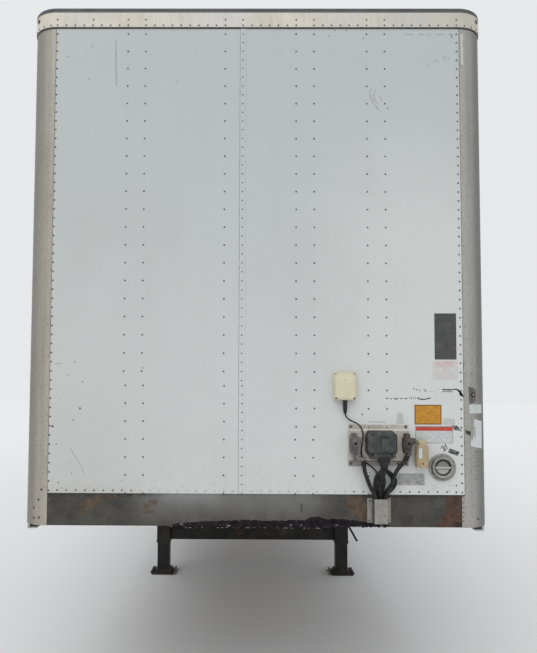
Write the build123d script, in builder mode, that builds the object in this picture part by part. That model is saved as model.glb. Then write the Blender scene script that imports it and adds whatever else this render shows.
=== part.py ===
from build123d import *
import math
import os

os.makedirs("parts", exist_ok=True)

# A dry van semi trailer, in millimetres. Its front faces -Y, its roadside is +X and its curb side -X.
# It stands level on its tyres and landing gear at Z = 0, with the origin under the middle of its box.

# Body shell
body_length = 16154
body_width = 2591
body_height = 4123
corner_radius = 148
side_wall_thickness = 38
front_wall_thickness = 45

# Rails round the roof, and the roof
rail_height = 84
rail_proud = 5
rail_corner_lap = 60
side_rail_height = 101
roof_thickness = 32
roof_edge_radius = 18
bow_width = 40
bow_depth = 22
bow_pitch = 610

# Front sill, floor and its crossmembers
coupler_height = 1194
sill_height = 178
sill_recess = 4
sill_plate = 10
sill_foot = 90
floor_top = 1288
floor_thickness = 30
bottom_rail_rise = 57
bottom_rail_proud = 4
bottom_rail_web = 12
bottom_rail_lip = 50
bottom_rail_lip_thickness = 8
crossmember_depth = 102
crossmember_width = 60
crossmember_web = 6
crossmember_flange = 8
crossmember_pitch = 305

# Upper coupler and kingpin
coupler_plate = 10
coupler_length = 1420
coupler_wide = 1120
coupler_narrow = 610
coupler_wide_length = 380
coupler_taper = 260
kingpin_setback = 914
kingpin_shank_radius = 36.5
kingpin_neck_radius = 25.4
kingpin_flange_radius = 35.7
kingpin_shank_length = 35
kingpin_neck_length = 33.4
kingpin_flange_length = 15.6

# Rear frame and doors
rear_frame_depth = 90
rear_post_width = 60
rear_header_height = 110
rear_sill_height = 150
door_thickness = 25
door_edge_gap = 5
door_centre_gap = 8
door_end_gap = 6
hinge_reach = 60
hinge_inset = 3
hinge_count = 5
hinge_end_margin = 160
knuckle_radius = 11
hinge_pin_radius = 6
hinge_pin_clearance = 0.4
strap_height = 50
strap_thickness = 8
strap_length = 200
strap_heel = 75
ear_height = 16
ear_gap = 0.5
lock_rod_radius = 13.5
lock_rod_standoff = 24
lock_rod_overrun = 62
lock_rod_places = (0.2, 0.66)
strap_weld = 2
strap_bevel = 5
guide_wall = 8
guide_cap = 4
guide_height = 40
guide_places = (0.03, 0.34, 0.66, 0.97)
cam_width = 44
cam_depth = 16
cam_height = 28
handle_rise = 430
handle_step = 90
handle_length = 380
handle_thickness = 10
handle_height = 28
handle_catch = 40
sill_bumper_width = 80
sill_bumper_depth = 50
sill_bumper_edge = 5
sill_bumper_drop = 20
sill_bumper_rise = 15

# Underride guard
guard_length = 2360
guard_tube = 100
guard_bottom = 460
guard_setback = 10
guard_upright_spacing = 1000
guard_upright_width = 90
guard_upright_depth = 80
guard_brace_width = 60
guard_brace_low = 600
guard_brace_height = 90

# Landing gear
gear_setback = 3500
gear_spacing = 1858
leg_width = 135
leg_inner_width = 122
leg_outer_bottom = 314
shoe_size = 254
shoe_plate = 10
brace_bottom = 341
brace_height = 108
brace_depth = 50
brace_plate = 8
leg_mount_width = 220
leg_mount_length = 400
leg_mount_plate = 10
shoe_rise = 14
shoe_bevel = 24
shoe_lip = 12
shoe_pad_size = 178
shoe_pad_height = 34
shoe_pad_taper = 14
leg_collar_proud = 4
leg_collar_height = 22
arch_crown = 515
arch_drop = 85
arch_height = 30
arch_thickness = 8
back_brace_width = 50
back_brace_low = 560
back_brace_height = 60
back_brace_reach = 760
back_brace_foot = 80
gear_shaft_height = 960
gear_shaft_radius = 14
gear_box_depth = 50
gear_box_width = 120
gear_box_z = (890, 1040)
crank_offset = 78
crank_knee = (15, 482)
crank_bend = 60
crank_low = 326
crank_reach = 103
crank_radius = 11

# Tandem
tandem_setback = 12500
tandem_forward = 1200
tandem_rearward = 1900
axle_spread = 1245
tyre_radius = 505
tyre_width = 284
tread_width = 238
bead_width = 216
bead_clearance = 0.2
tyre_belly_radius = 415
tyre_shoulder_width = 274
tyre_shoulder_radius = 468
rim_radius = 300
dual_spacing = 333
tyre_edge_inset = 3
tyre_side_count = 44
rim_depth = 117
bogie_length = 2800
body_rail_outer = 616
body_rail_depth = 96
body_rail_plate = 8
body_rail_foot = 28
lock_hole_radius = 17
lock_hole_pitch = 152
lock_hole_margin = 90
slider_gap = 6
slider_running_gap = 0.5
slider_bottom = 940
slider_width = 42
bogie_tube_places = (-1300, -660, 0, 660, 1300)
bogie_tube_width = 100
bogie_tube_drop = 20
bogie_tube_rise = 10
spring_inner_x = 483
spring_width = 76
spring_seat_rise = 93
spring_bow = 60
spring_half = 600
leaf_step = 130
leaf_thickness = 14
leaf_count = 3
clamp_plate = 12
clamp_length = 140
clamp_width = 100
hanger_gap = 0.3
hanger_plate = 10
hanger_side_gap = 2
hanger_foot = 90
hanger_waist = 140
hanger_waist_rise = 70
hanger_head = 220
hanger_pad = 40
equaliser_length = 210
equaliser_crown = 80
equaliser_end = 26
equaliser_height = 110
equaliser_pin_drop = 40
equaliser_pin_radius = 20
equaliser_side_gap = 4
arm_pin_rise = 2
arm_pin_radius = 13
arm_pin_clearance = 0.3
arm_pin_cover = 30
arm_pin_proud = 6
arm_radius = 18
arm_eye_radius = 26
arm_eye_width = 60
arm_foot_drop = 43
arm_sunk = 10
axle_radius = 63.5
axle_beam_inset = 236
spindle_radius = 40
spindle_reach = 94
spindle_clearance = 0.4
shield_inset = 248
shield_plate = 6
shield_radius = 200
seat_block_width = 100
seat_block_length = 120
brake_shaft_offset = 110
brake_shaft_radius = 17
chamber_inset = 599
chamber_rise = 115
chamber_radius = 80
chamber_near = 60
chamber_length = 170
chamber_bracket_width = 40
chamber_band_width = 14
chamber_band_proud = 6
slack_width = 30
slack_length = 40
rim_wall = 25
hand_hole_count = 5
hand_hole_radius = 27
hand_hole_place = 242
disc_outer_x = 75
disc_inner_x = 20
hub_radius = 85
hub_cap_radius = 75
hub_face_x = 150
hub_cap_wall = 50
drum_radius = 208
drum_outer_x = -40
drum_inner_x = -230
hub_back_x = -215
hub_back_radius = 80
tank_length = 700
tank_radius = 120
tank_height = 800
tank_strap_width = 40
tank_strap_length = 80
tank_strap_spacing = 440
flap_inset = 152
flap_width = 610
flap_thickness = 10
flap_bottom = 280
flap_bar = 40
flap_bar_overhang = 1

# Things on the front wall
plate_depth = 22
plate_flange = 3
plate_x = (509, 839)
plate_z = (1526, 1753)
plate_raised_z = (1554, 1731)
plate_bend = 6
gladhand_depth = 68
gladhand_x = {"curb": 536, "road": 824}
nose_box_depth = 34
nose_box_taper = 5
nose_box_outline = (
    (597, 1612), (597, 1700), (612, 1724), (742, 1724), (768, 1700), (768, 1606), (742, 1566), (626, 1566)
)
lid_depth = 18
lid_taper = 20
lid_outline = (
    (600, 1610), (600, 1699), (614, 1721), (740, 1721), (765, 1699), (765, 1612), (754, 1601), (610, 1601)
)
lid_pad_place = (699, 1651)
lid_pad_size = (47, 68)
lid_pad_round = 9
lid_pad_rise = 8
lid_pad_taper = 12
lid_slot_x = (671, 727)
lid_slot_z = (1689, 1697)
lid_slot_depth = 5
lid_hinge_radius = 6
lid_hinge_x = (634, 730)
latch_places = (648, 748)
latch_width = 16
latch_z = (1578, 1603)
latch_rise = 9
harness_x = 696.5
gland_standoff = 28
gland_top = 1580
gland_bottom = 1530
gland_radius = 19
harness_spread = 8
gladhand_palm_depth = 30
gladhand_lap = 10
gladhand_outline = (
    (-19, 1600), (19, 1600), (25, 1634), (24, 1684), (15, 1692),
    (15, 1709), (-15, 1709), (-15, 1692), (-24, 1684), (-25, 1634)
)
gladhand_body_depth = 46
gladhand_taper = 6
gladhand_face_z = 1655
gladhand_face_radius = 26
gladhand_seal_radius = 17
gladhand_seal_bore = 10
gladhand_seal_depth = 8
gladhand_arm_z = 1668
gladhand_arm_radius = 17
gladhand_arm_reach = 40
gladhand_arm_out = 30
elbow_radius = 14
elbow_width = 20
sensor_x = (426, 551)
sensor_z = (1887, 2042)
sensor_depth = 38
sensor_round = 9
sensor_taper = 3
sensor_lid_inset = 9
sensor_lid_rise = 4
sensor_gland_radius = 9
sensor_gland_standoff = 20
sensor_gland_sunk = 3
tube_x = 904
tube_radius = 35
tube_z = (1527, 1643)
tube_gap = 1
tube_neck_radius = 24
tube_cap_radius = 27
tube_cap_bottom = 1659
tube_top = 1673
tube_boss_z = 1548
tube_boss_radius = 17
tube_boss_rise = 3
tube_boss_bore = 5
tube_boss_bore_depth = 8
tube_clip_width = 40
tube_clip_depth = 10
tube_clip_z = (1540, 1636)
holder_x = 1024
holder_z = 1522
holder_radius = 74
holder_depth = 26
holder_base = 8
# Half section of the holder from its middle outwards, as (radius, depth from the wall)
holder_section = (
    (0, 0), (holder_radius, 0), (holder_radius, 8), (71, 11), (62, 12), (59, 24),
    (57, holder_depth), (49, holder_depth), (44, 21), (43, holder_base), (0, holder_base)
)
holder_dome_radius = 35
holder_dome_rise = 9
holder_bar_length = 87
holder_bar_height = 9
holder_bar_recess = 3
cover_x = (612, 741)
cover_hat_x = (643, 717)
cover_z = (1220, 1352)
cover_depth = 48
cover_plate = 3
cover_bend = 2
cord_end_z = 1322
hose_diameter = 22
harness_diameter = 15
sensor_cable_diameter = 8
curb_hose_x = 586
curb_hose_z = 1560
road_hose_x = 822
road_hose_z = 1587
road_elbow_top = (833.9, 1609)
sensor_gland_x = 490
sensor_gland_z = 1826

# Lamps: the rear ones are let into the header and the sill, at places measured in from the posts
header_lamp_inset = 86
header_lamp_radius = 22
tail_lamp_insets = (156, 286)
tail_lamp_radius = 50
middle_lamp_places = (-150, 0, 150)
middle_lamp_radius = 18
rear_lamp_depth = 8
side_lamp_proud = 5
side_lamp_radius = 18
side_lamp_z = 1184
side_lamp_setback = 320
corner_lamp_radius = 11
corner_lamp_rise = 58
corner_lamp_turn = 41
corner_lamp_sunk = 4
corner_lamp_proud = 6

# Worked out from the sizes above
half_width = body_width / 2
front_proud = plate_depth + gladhand_depth
rear_proud = hinge_reach + knuckle_radius
front_y = -(body_length + rear_proud - front_proud) / 2
rear_y = front_y + body_length
frame_y = rear_y - rear_frame_depth
turn_y = front_y + corner_radius
turn_x = half_width - corner_radius
inside_x = half_width - side_wall_thickness
rail_top = body_height - roof_thickness
rail_bottom = rail_top - rail_height
sill_top = coupler_height + sill_height
floor_bottom = floor_top - floor_thickness
crossmember_bottom = floor_bottom - crossmember_depth
frame_x = half_width + bottom_rail_proud - bottom_rail_web
bottom_rail_top = floor_top + bottom_rail_rise
side_rail_bottom = rail_top - side_rail_height
tandem_y = front_y + tandem_setback
axle_places = {"front": tandem_y - axle_spread / 2, "rear": tandem_y + axle_spread / 2}
gear_y = front_y + gear_setback
leg_x = gear_spacing / 2
door_face_y = rear_y
pin_y = door_face_y + hinge_reach
pin_x = half_width - hinge_inset
spring_seat = tyre_radius + spring_seat_rise
spring_outer_x = spring_inner_x + spring_width
harness_y = front_y - plate_depth - gland_standoff
track_to_dual_centre = half_width - tyre_edge_inset - (tyre_width + dual_spacing) / 2
axle_beam_end = track_to_dual_centre - axle_beam_inset
spindle_end = track_to_dual_centre + spindle_reach
shield_x = track_to_dual_centre - shield_inset
chamber_x = track_to_dual_centre - chamber_inset


def save(piece, name):
    """Label a finished piece and write it."""
    piece.part.label = name
    export_step(piece.part, f"parts/{name}.step")


def save_pair(road_piece, name):
    """Write a roadside piece and its mirror image on the curb side."""
    save(road_piece, name + "_road")
    with BuildPart() as curb_piece:
        mirror(road_piece.part, about=Plane.YZ)
    save(curb_piece, name + "_curb")


def block(x, y, z, mode=Mode.ADD):
    """A box between two x, two y and two z, in the open part."""
    with Locations(((x[0] + x[1]) / 2, (y[0] + y[1]) / 2, (z[0] + z[1]) / 2)):
        Box(x[1] - x[0], y[1] - y[0], z[1] - z[0], mode=mode)


def bar_along_y(section, y, mode=Mode.ADD):
    """A section of (x, z) corners drawn from one y to the other."""
    with BuildSketch(Plane.XZ.offset(-y[0])) as profile:
        with BuildLine():
            Polyline(*section, close=True)
        make_face()
    extrude(profile.sketch, amount=-(y[1] - y[0]), mode=mode)


def bar_along_x(section, x, mode=Mode.ADD):
    """A section of (y, z) corners drawn from one x to the other."""
    with BuildSketch(Plane.YZ.offset(x[0])) as profile:
        with BuildLine():
            Polyline(*section, close=True)
        make_face()
    extrude(profile.sketch, amount=x[1] - x[0], mode=mode)


def bar_along_z(section, z, mode=Mode.ADD):
    """A section of (x, y) corners drawn from one z to the other."""
    with BuildSketch(Plane.XY.offset(z[0])) as profile:
        with BuildLine():
            Polyline(*section, close=True)
        make_face()
    extrude(profile.sketch, amount=z[1] - z[0], mode=mode)


def rod(start, end, radius, mode=Mode.ADD):
    """A round bar between two points, in the open part."""
    axis = Vector(*end) - Vector(*start)
    with BuildSketch(Plane(origin=start, z_dir=axis)) as profile:
        Circle(radius)
    extrude(profile.sketch, amount=axis.length, mode=mode)


def body_outline(z, proud, y_back):
    """Plan of the body with its two round front corners, the walls' face plus proud."""
    x_side = half_width + proud
    y_nose = front_y - proud
    reach = (corner_radius + proud) * math.sqrt(0.5)
    with BuildSketch(Plane.XY.offset(z)) as outline:
        with BuildLine():
            Polyline((-x_side, turn_y), (-x_side, y_back), (x_side, y_back), (x_side, turn_y))
            ThreePointArc((x_side, turn_y), (turn_x + reach, turn_y - reach), (turn_x, y_nose))
            Line((turn_x, y_nose), (-turn_x, y_nose))
            ThreePointArc((-turn_x, y_nose), (-turn_x - reach, turn_y - reach), (-x_side, turn_y))
        make_face()
    return outline.sketch


# Front wall: riveted sheet and posts with a lining behind, as thick as the whole wall
with BuildPart() as front_wall:
    block((-turn_x, turn_x), (front_y, front_y + front_wall_thickness), (sill_top, rail_bottom))
save(front_wall, "front_wall")

# Corner posts: quarter rounds from the front wall to the side walls, down to the coupler's level
with BuildPart() as corner_post:
    inner_radius = corner_radius - side_wall_thickness
    with BuildSketch(Plane.XY.offset(coupler_height)):
        with BuildLine():
            CenterArc((turn_x, turn_y), corner_radius, -90, 90)
            CenterArc((turn_x, turn_y), inner_radius, -90, 90)
            Line((turn_x, front_y), (turn_x, turn_y - inner_radius))
            Line((half_width, turn_y), (turn_x + inner_radius, turn_y))
        make_face()
    extrude(amount=rail_bottom - coupler_height)
save_pair(corner_post, "corner_post")

# Top front rail: an extrusion that laps the front wall and turns both corners
with BuildPart() as top_front_rail:
    rail_end_y = turn_y + rail_corner_lap
    extrude(body_outline(rail_bottom, rail_proud, rail_end_y), amount=rail_height)
    extrude(body_outline(rail_bottom, -side_wall_thickness, rail_end_y), amount=rail_height, mode=Mode.SUBTRACT)
save(top_front_rail, "top_front_rail")

# Top side rails
with BuildPart() as top_rail:
    bar_along_y(
        [
            (inside_x, side_rail_bottom),
            (half_width + rail_proud, side_rail_bottom),
            (half_width + rail_proud, rail_top),
            (inside_x, rail_top),
        ],
        (turn_y + rail_corner_lap, frame_y),
    )
    block(
        (inside_x, half_width),
        (turn_y, turn_y + rail_corner_lap),
        (side_rail_bottom, rail_bottom),
    )
save_pair(top_rail, "top_rail")

# Side walls: sheet and posts with a lining, as thick as the whole wall
with BuildPart() as side_wall:
    block((inside_x, half_width), (turn_y, frame_y), (bottom_rail_top, side_rail_bottom))
save_pair(side_wall, "side_wall")

# Roof: sheet with a rolled edge, and the bows that carry it
with BuildPart() as roof:
    extrude(body_outline(rail_top, rail_proud, frame_y), amount=roof_thickness)
    top_edges = roof.faces().sort_by(Axis.Z)[-1].edges()
    fillet(top_edges.sort_by(Axis.Y)[:-1], radius=roof_edge_radius)
    bow_run = frame_y - turn_y - rail_corner_lap
    bow_count = int(bow_run // bow_pitch)
    for bow in range(bow_count):
        bow_y = turn_y + rail_corner_lap + bow_pitch * (bow + 0.5)
        bow_sides = (bow_y - bow_width / 2, bow_y + bow_width / 2)
        block((-inside_x, inside_x), bow_sides, (rail_top - bow_depth, rail_top))
save(roof, "roof")

# Front sill: a folded steel channel under the front wall, with a foot that meets the coupler plate
with BuildPart() as front_sill:
    sill_face = front_y + sill_recess
    wall_back = front_y + front_wall_thickness
    bar_along_x(
        [
            (sill_face, coupler_height + sill_plate / 2),
            (sill_face + sill_plate / 2, coupler_height),
            (sill_face + sill_foot, coupler_height),
            (sill_face + sill_foot, coupler_height + sill_plate),
            (sill_face + sill_plate, coupler_height + sill_plate),
            (sill_face + sill_plate, sill_top - sill_plate),
            (wall_back, sill_top - sill_plate),
            (wall_back, sill_top),
            (sill_face, sill_top),
        ],
        (-turn_x, turn_x),
    )
save(front_sill, "front_sill")

# Upper coupler: the plate that rides on the fifth wheel, with the cross channels over it
with BuildPart() as upper_coupler:
    plate_y = front_y + sill_recess + sill_foot
    plate_back = front_y + coupler_length
    taper_y = front_y + coupler_wide_length
    plate_top = coupler_height + coupler_plate
    bar_along_z(
        [
            (-coupler_wide, plate_y),
            (coupler_wide, plate_y),
            (coupler_wide, taper_y),
            (coupler_narrow, taper_y + coupler_taper),
            (coupler_narrow, plate_back),
            (-coupler_narrow, plate_back),
            (-coupler_narrow, taper_y + coupler_taper),
            (-coupler_wide, taper_y),
        ],
        (coupler_height, plate_top),
    )
    coupler_ribs = int((plate_back - turn_y - 2 * crossmember_width) // crossmember_pitch)
    for rib in range(coupler_ribs + 1):
        rib_y = turn_y + crossmember_width + crossmember_pitch * rib
        rib_back = rib_y + crossmember_width
        bar_along_x(
            [
                (rib_y, plate_top),
                (rib_back, plate_top),
                (rib_back, plate_top + crossmember_flange),
                (rib_y + crossmember_web, plate_top + crossmember_flange),
                (rib_y + crossmember_web, floor_bottom - crossmember_flange),
                (rib_back, floor_bottom - crossmember_flange),
                (rib_back, floor_bottom),
                (rib_y, floor_bottom),
            ],
            (-frame_x, frame_x),
        )
save(upper_coupler, "upper_coupler")

# Kingpin: shank, neck that the fifth wheel's jaws grip, and lower flange
with BuildPart() as kingpin:
    neck_top = coupler_height - kingpin_shank_length
    neck_bottom = neck_top - kingpin_neck_length
    pin_bottom = neck_bottom - kingpin_flange_length
    kingpin_y = front_y + kingpin_setback
    with BuildSketch(Plane.XZ.offset(-kingpin_y)):
        with BuildLine():
            Polyline(
                (0, coupler_height),
                (kingpin_shank_radius, coupler_height),
                (kingpin_shank_radius, neck_top),
                (kingpin_neck_radius, neck_top),
                (kingpin_neck_radius, neck_bottom),
                (kingpin_flange_radius, neck_bottom),
                (kingpin_flange_radius, pin_bottom),
                (0, pin_bottom),
                close=True,
            )
        make_face()
    revolve(axis=Axis((0, kingpin_y, 0), (0, 0, 1)))
save(kingpin, "kingpin")

# Bottom side rails: a web that the crossmembers butt on, a lip under them and a seat for the wall
with BuildPart() as bottom_rail:
    rail_face = half_width + bottom_rail_proud
    lip_bottom = crossmember_bottom - bottom_rail_lip_thickness
    bar_along_y(
        [
            (rail_face, lip_bottom),
            (rail_face, bottom_rail_top),
            (inside_x, bottom_rail_top),
            (inside_x, floor_top),
            (frame_x, floor_top),
            (frame_x, crossmember_bottom),
            (rail_face - bottom_rail_lip, crossmember_bottom),
            (rail_face - bottom_rail_lip, lip_bottom),
        ],
        (turn_y, frame_y),
    )
save_pair(bottom_rail, "bottom_rail")

# Floor: laminated boards, cut back round the corner posts
with BuildPart() as floor:
    bar_along_z(
        [
            (-turn_x, front_y + front_wall_thickness),
            (turn_x, front_y + front_wall_thickness),
            (turn_x, turn_y),
            (frame_x, turn_y),
            (frame_x, frame_y),
            (-frame_x, frame_y),
            (-frame_x, turn_y),
            (-turn_x, turn_y),
        ],
        (floor_bottom, floor_top),
    )
save(floor, "floor")

# Crossmembers: channels on edge, from bottom rail to bottom rail behind the coupler
with BuildPart() as crossmembers:
    first_y = front_y + coupler_length + crossmember_width
    crossmember_count = int((frame_y - crossmember_width - first_y) // crossmember_pitch) + 1
    last_crossmember_y = first_y + crossmember_pitch * (crossmember_count - 1)
    for number in range(crossmember_count):
        web_y = first_y + crossmember_pitch * number
        back_y = web_y + crossmember_width
        bar_along_x(
            [
                (web_y, crossmember_bottom),
                (back_y, crossmember_bottom),
                (back_y, crossmember_bottom + crossmember_flange),
                (web_y + crossmember_web, crossmember_bottom + crossmember_flange),
                (web_y + crossmember_web, floor_bottom - crossmember_flange),
                (back_y, floor_bottom - crossmember_flange),
                (back_y, floor_bottom),
                (web_y, floor_bottom),
            ],
            (-frame_x, frame_x),
        )
save(crossmembers, "crossmembers")

# Body rails: the two channels that the tandem slides in, with the holes that its lock pins drop into
with BuildPart() as body_rails:
    rail_web_x = body_rail_outer - body_rail_plate
    rail_low = crossmember_bottom - body_rail_depth
    body_rail_front = tandem_y - tandem_forward - bogie_length / 2 - body_rail_plate
    body_rail_back = tandem_y + tandem_rearward + bogie_length / 2 + body_rail_plate
    bar_along_y(
        [
            (body_rail_outer, rail_low),
            (body_rail_outer, crossmember_bottom),
            (body_rail_outer - body_rail_depth, crossmember_bottom),
            (body_rail_outer - body_rail_depth, crossmember_bottom - body_rail_plate),
            (rail_web_x, crossmember_bottom - body_rail_plate),
            (rail_web_x, rail_low + body_rail_plate),
            (body_rail_outer - body_rail_foot, rail_low + body_rail_plate),
            (body_rail_outer - body_rail_foot, rail_low),
        ],
        (body_rail_front, body_rail_back),
    )
    hole_z = crossmember_bottom - body_rail_depth / 2
    hole_run = body_rail_back - body_rail_front - 2 * lock_hole_margin
    for hole in range(int(hole_run // lock_hole_pitch) + 1):
        hole_y = body_rail_front + lock_hole_margin + lock_hole_pitch * hole
        rod((rail_web_x, hole_y, hole_z), (body_rail_outer, hole_y, hole_z), lock_hole_radius, Mode.SUBTRACT)
    mirror(about=Plane.YZ)
save(body_rails, "body_rails")

# Rear frame: two posts with the fixed halves of the hinges, a header and a sill
hinge_low = floor_top + hinge_end_margin
hinge_high = body_height - rear_header_height - hinge_end_margin
hinge_step = (hinge_high - hinge_low) / (hinge_count - 1)
hinge_places = [hinge_low + hinge_step * number for number in range(hinge_count)]
post_inner_x = half_width - rear_post_width
rear_sill_bottom = floor_top - rear_sill_height

with BuildPart() as rear_post:
    post_face = half_width + bottom_rail_proud
    block((post_inner_x, post_face), (frame_y, rear_y), (rear_sill_bottom, body_height))
    for hinge_z in hinge_places:
        for side in (-1, 1):
            ear_near = hinge_z + side * (strap_height / 2 + ear_gap)
            ear_far = ear_near + side * ear_height
            ear_z = (min(ear_near, ear_far), max(ear_near, ear_far))
            block((pin_x - knuckle_radius, pin_x + hinge_inset), (rear_y, pin_y), ear_z)
            rod((pin_x, pin_y, ear_z[0]), (pin_x, pin_y, ear_z[1]), knuckle_radius)
        pin_half = strap_height / 2 + ear_gap + ear_height
        rod((pin_x, pin_y, hinge_z - pin_half), (pin_x, pin_y, hinge_z + pin_half), hinge_pin_radius)
save_pair(rear_post, "rear_post")

with BuildPart() as rear_header:
    header_bottom = body_height - rear_header_height
    block((-post_inner_x, post_inner_x), (frame_y, rear_y), (header_bottom, body_height))
save(rear_header, "rear_header")

with BuildPart() as rear_sill:
    block((-post_inner_x, post_inner_x), (frame_y, rear_y), (rear_sill_bottom, floor_top))
    for side in (-1, 1):
        bumper_x = side * (post_inner_x - sill_bumper_edge - sill_bumper_width / 2)
        block(
            (bumper_x - sill_bumper_width / 2, bumper_x + sill_bumper_width / 2),
            (rear_y, rear_y + sill_bumper_depth),
            (rear_sill_bottom + sill_bumper_rise, floor_top - sill_bumper_drop),
        )
save(rear_sill, "rear_sill")

# Rear doors: flat leaves between the posts, with straps, lock rods, guides and handles on their faces
leaf_inner_x = door_centre_gap / 2
leaf_outer_x = post_inner_x - door_edge_gap
leaf_z = (floor_top + door_end_gap, header_bottom - door_end_gap)
rod_y = door_face_y + lock_rod_standoff
guide_reach = lock_rod_standoff + lock_rod_radius + guide_cap
leaf_height = leaf_z[1] - leaf_z[0]

with BuildPart() as door:
    block((leaf_inner_x, leaf_outer_x), (door_face_y - door_thickness, door_face_y), leaf_z)
save_pair(door, "door")

with BuildPart() as door_gear:
    for hinge_z in hinge_places:
        strap_z = (hinge_z - strap_height / 2, hinge_z + strap_height / 2)
        strap_top_y = door_face_y + strap_thickness
        bar_along_z(
            [
                (pin_x - strap_weld, pin_y + knuckle_radius - strap_weld),
                (pin_x - strap_heel + strap_bevel, strap_top_y + strap_weld),
                (pin_x - strap_length, strap_top_y),
                (pin_x - strap_length, door_face_y),
                (pin_x - strap_heel, door_face_y),
                (pin_x + strap_weld, pin_y - knuckle_radius + strap_weld),
            ],
            strap_z,
        )
        rod((pin_x, pin_y, strap_z[0]), (pin_x, pin_y, strap_z[1]), knuckle_radius)
        bore = hinge_pin_radius + hinge_pin_clearance
        rod((pin_x, pin_y, strap_z[0]), (pin_x, pin_y, strap_z[1]), bore, Mode.SUBTRACT)
    for place in lock_rod_places:
        lock_x = leaf_inner_x + (leaf_outer_x - leaf_inner_x) * place
        rod_z = (leaf_z[0] - lock_rod_overrun, leaf_z[1] + lock_rod_overrun)
        rod((lock_x, rod_y, rod_z[0]), (lock_x, rod_y, rod_z[1]), lock_rod_radius)
        guide_half = lock_rod_radius + guide_wall
        for share in guide_places:
            guide_z = leaf_z[0] + leaf_height * share
            block(
                (lock_x - guide_half, lock_x + guide_half),
                (door_face_y, door_face_y + guide_reach),
                (guide_z - guide_height / 2, guide_z + guide_height / 2),
            )
        for cam_z in rod_z:
            block(
                (lock_x - cam_width / 2, lock_x + cam_width / 2),
                (rod_y - cam_depth / 2, rod_y + cam_depth / 2),
                (cam_z - cam_height / 2, cam_z + cam_height / 2),
            )
        handle_z = leaf_z[0] + handle_rise + handle_step * lock_rod_places.index(place)
        handle_face = rod_y - handle_thickness / 2
        handle_end = lock_x + handle_length
        block(
            (lock_x, handle_end),
            (handle_face, handle_face + handle_thickness),
            (handle_z - handle_height / 2, handle_z + handle_height / 2),
        )
        block(
            (handle_end - handle_catch, handle_end),
            (door_face_y, handle_face),
            (handle_z - handle_catch / 2, handle_z + handle_catch / 2),
        )
save_pair(door_gear, "door_gear")

# Underride guard: a square tube on two uprights under the rear sill, braced forward to a crossmember
with BuildPart() as underride_guard:
    guard_back = rear_y - guard_setback
    guard_middle = guard_back - guard_tube / 2
    guard_top = guard_bottom + guard_tube
    block((-guard_length / 2, guard_length / 2), (guard_back - guard_tube, guard_back), (guard_bottom, guard_top))
    for side in (-1, 1):
        upright_x = side * guard_upright_spacing / 2
        block(
            (upright_x - guard_upright_width / 2, upright_x + guard_upright_width / 2),
            (guard_middle - guard_upright_depth / 2, guard_middle + guard_upright_depth / 2),
            (guard_top, rear_sill_bottom),
        )
        upright_face = guard_middle - guard_upright_depth / 2
        last_flange = (last_crossmember_y, last_crossmember_y + crossmember_width)
        bar_along_x(
            [
                (upright_face, guard_brace_low),
                (upright_face, guard_brace_low + guard_brace_height),
                (last_flange[1], crossmember_bottom),
                (last_flange[0], crossmember_bottom),
            ],
            (upright_x - guard_brace_width / 2, upright_x + guard_brace_width / 2),
        )
save(underride_guard, "underride_guard")

# Landing gear: two legs with a collar, an inner tube and a two-step sand shoe
half_leg = leg_width / 2
leg_inner_bottom = shoe_plate + shoe_pad_height
with BuildPart() as landing_leg:
    half_inner = leg_inner_width / 2
    half_collar = half_leg + leg_collar_proud
    half_shoe = shoe_size / 2
    mount_z = crossmember_bottom - leg_mount_plate
    shoe_top = shoe_plate + shoe_rise
    block(
        (leg_x - half_leg, leg_x + half_leg),
        (gear_y - half_leg, gear_y + half_leg),
        (leg_outer_bottom, mount_z),
    )
    block(
        (leg_x - half_collar, leg_x + half_collar),
        (gear_y - half_collar, gear_y + half_collar),
        (leg_outer_bottom, leg_outer_bottom + leg_collar_height),
    )
    block(
        (leg_x - half_inner, leg_x + half_inner),
        (gear_y - half_inner, gear_y + half_inner),
        (leg_inner_bottom, leg_outer_bottom),
    )
    block(
        (leg_x - leg_mount_width / 2, leg_x + leg_mount_width / 2),
        (gear_y - leg_mount_length / 2, gear_y + leg_mount_length / 2),
        (mount_z, crossmember_bottom),
    )
    bar_along_y(
        [
            (leg_x - half_shoe, shoe_top),
            (leg_x - half_shoe + shoe_bevel, 0),
            (leg_x + half_shoe - shoe_bevel, 0),
            (leg_x + half_shoe, shoe_top),
            (leg_x + half_shoe - shoe_lip, shoe_top),
            (leg_x + half_shoe - shoe_bevel - shoe_lip, shoe_plate),
            (leg_x - half_shoe + shoe_bevel + shoe_lip, shoe_plate),
            (leg_x - half_shoe + shoe_lip, shoe_top),
        ],
        (gear_y - half_shoe, gear_y + half_shoe),
    )
    with BuildSketch(Plane((leg_x, gear_y, shoe_plate))):
        Rectangle(shoe_pad_size, shoe_pad_size)
    extrude(amount=shoe_pad_height, taper=shoe_pad_taper)
save_pair(landing_leg, "landing_leg")

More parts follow.
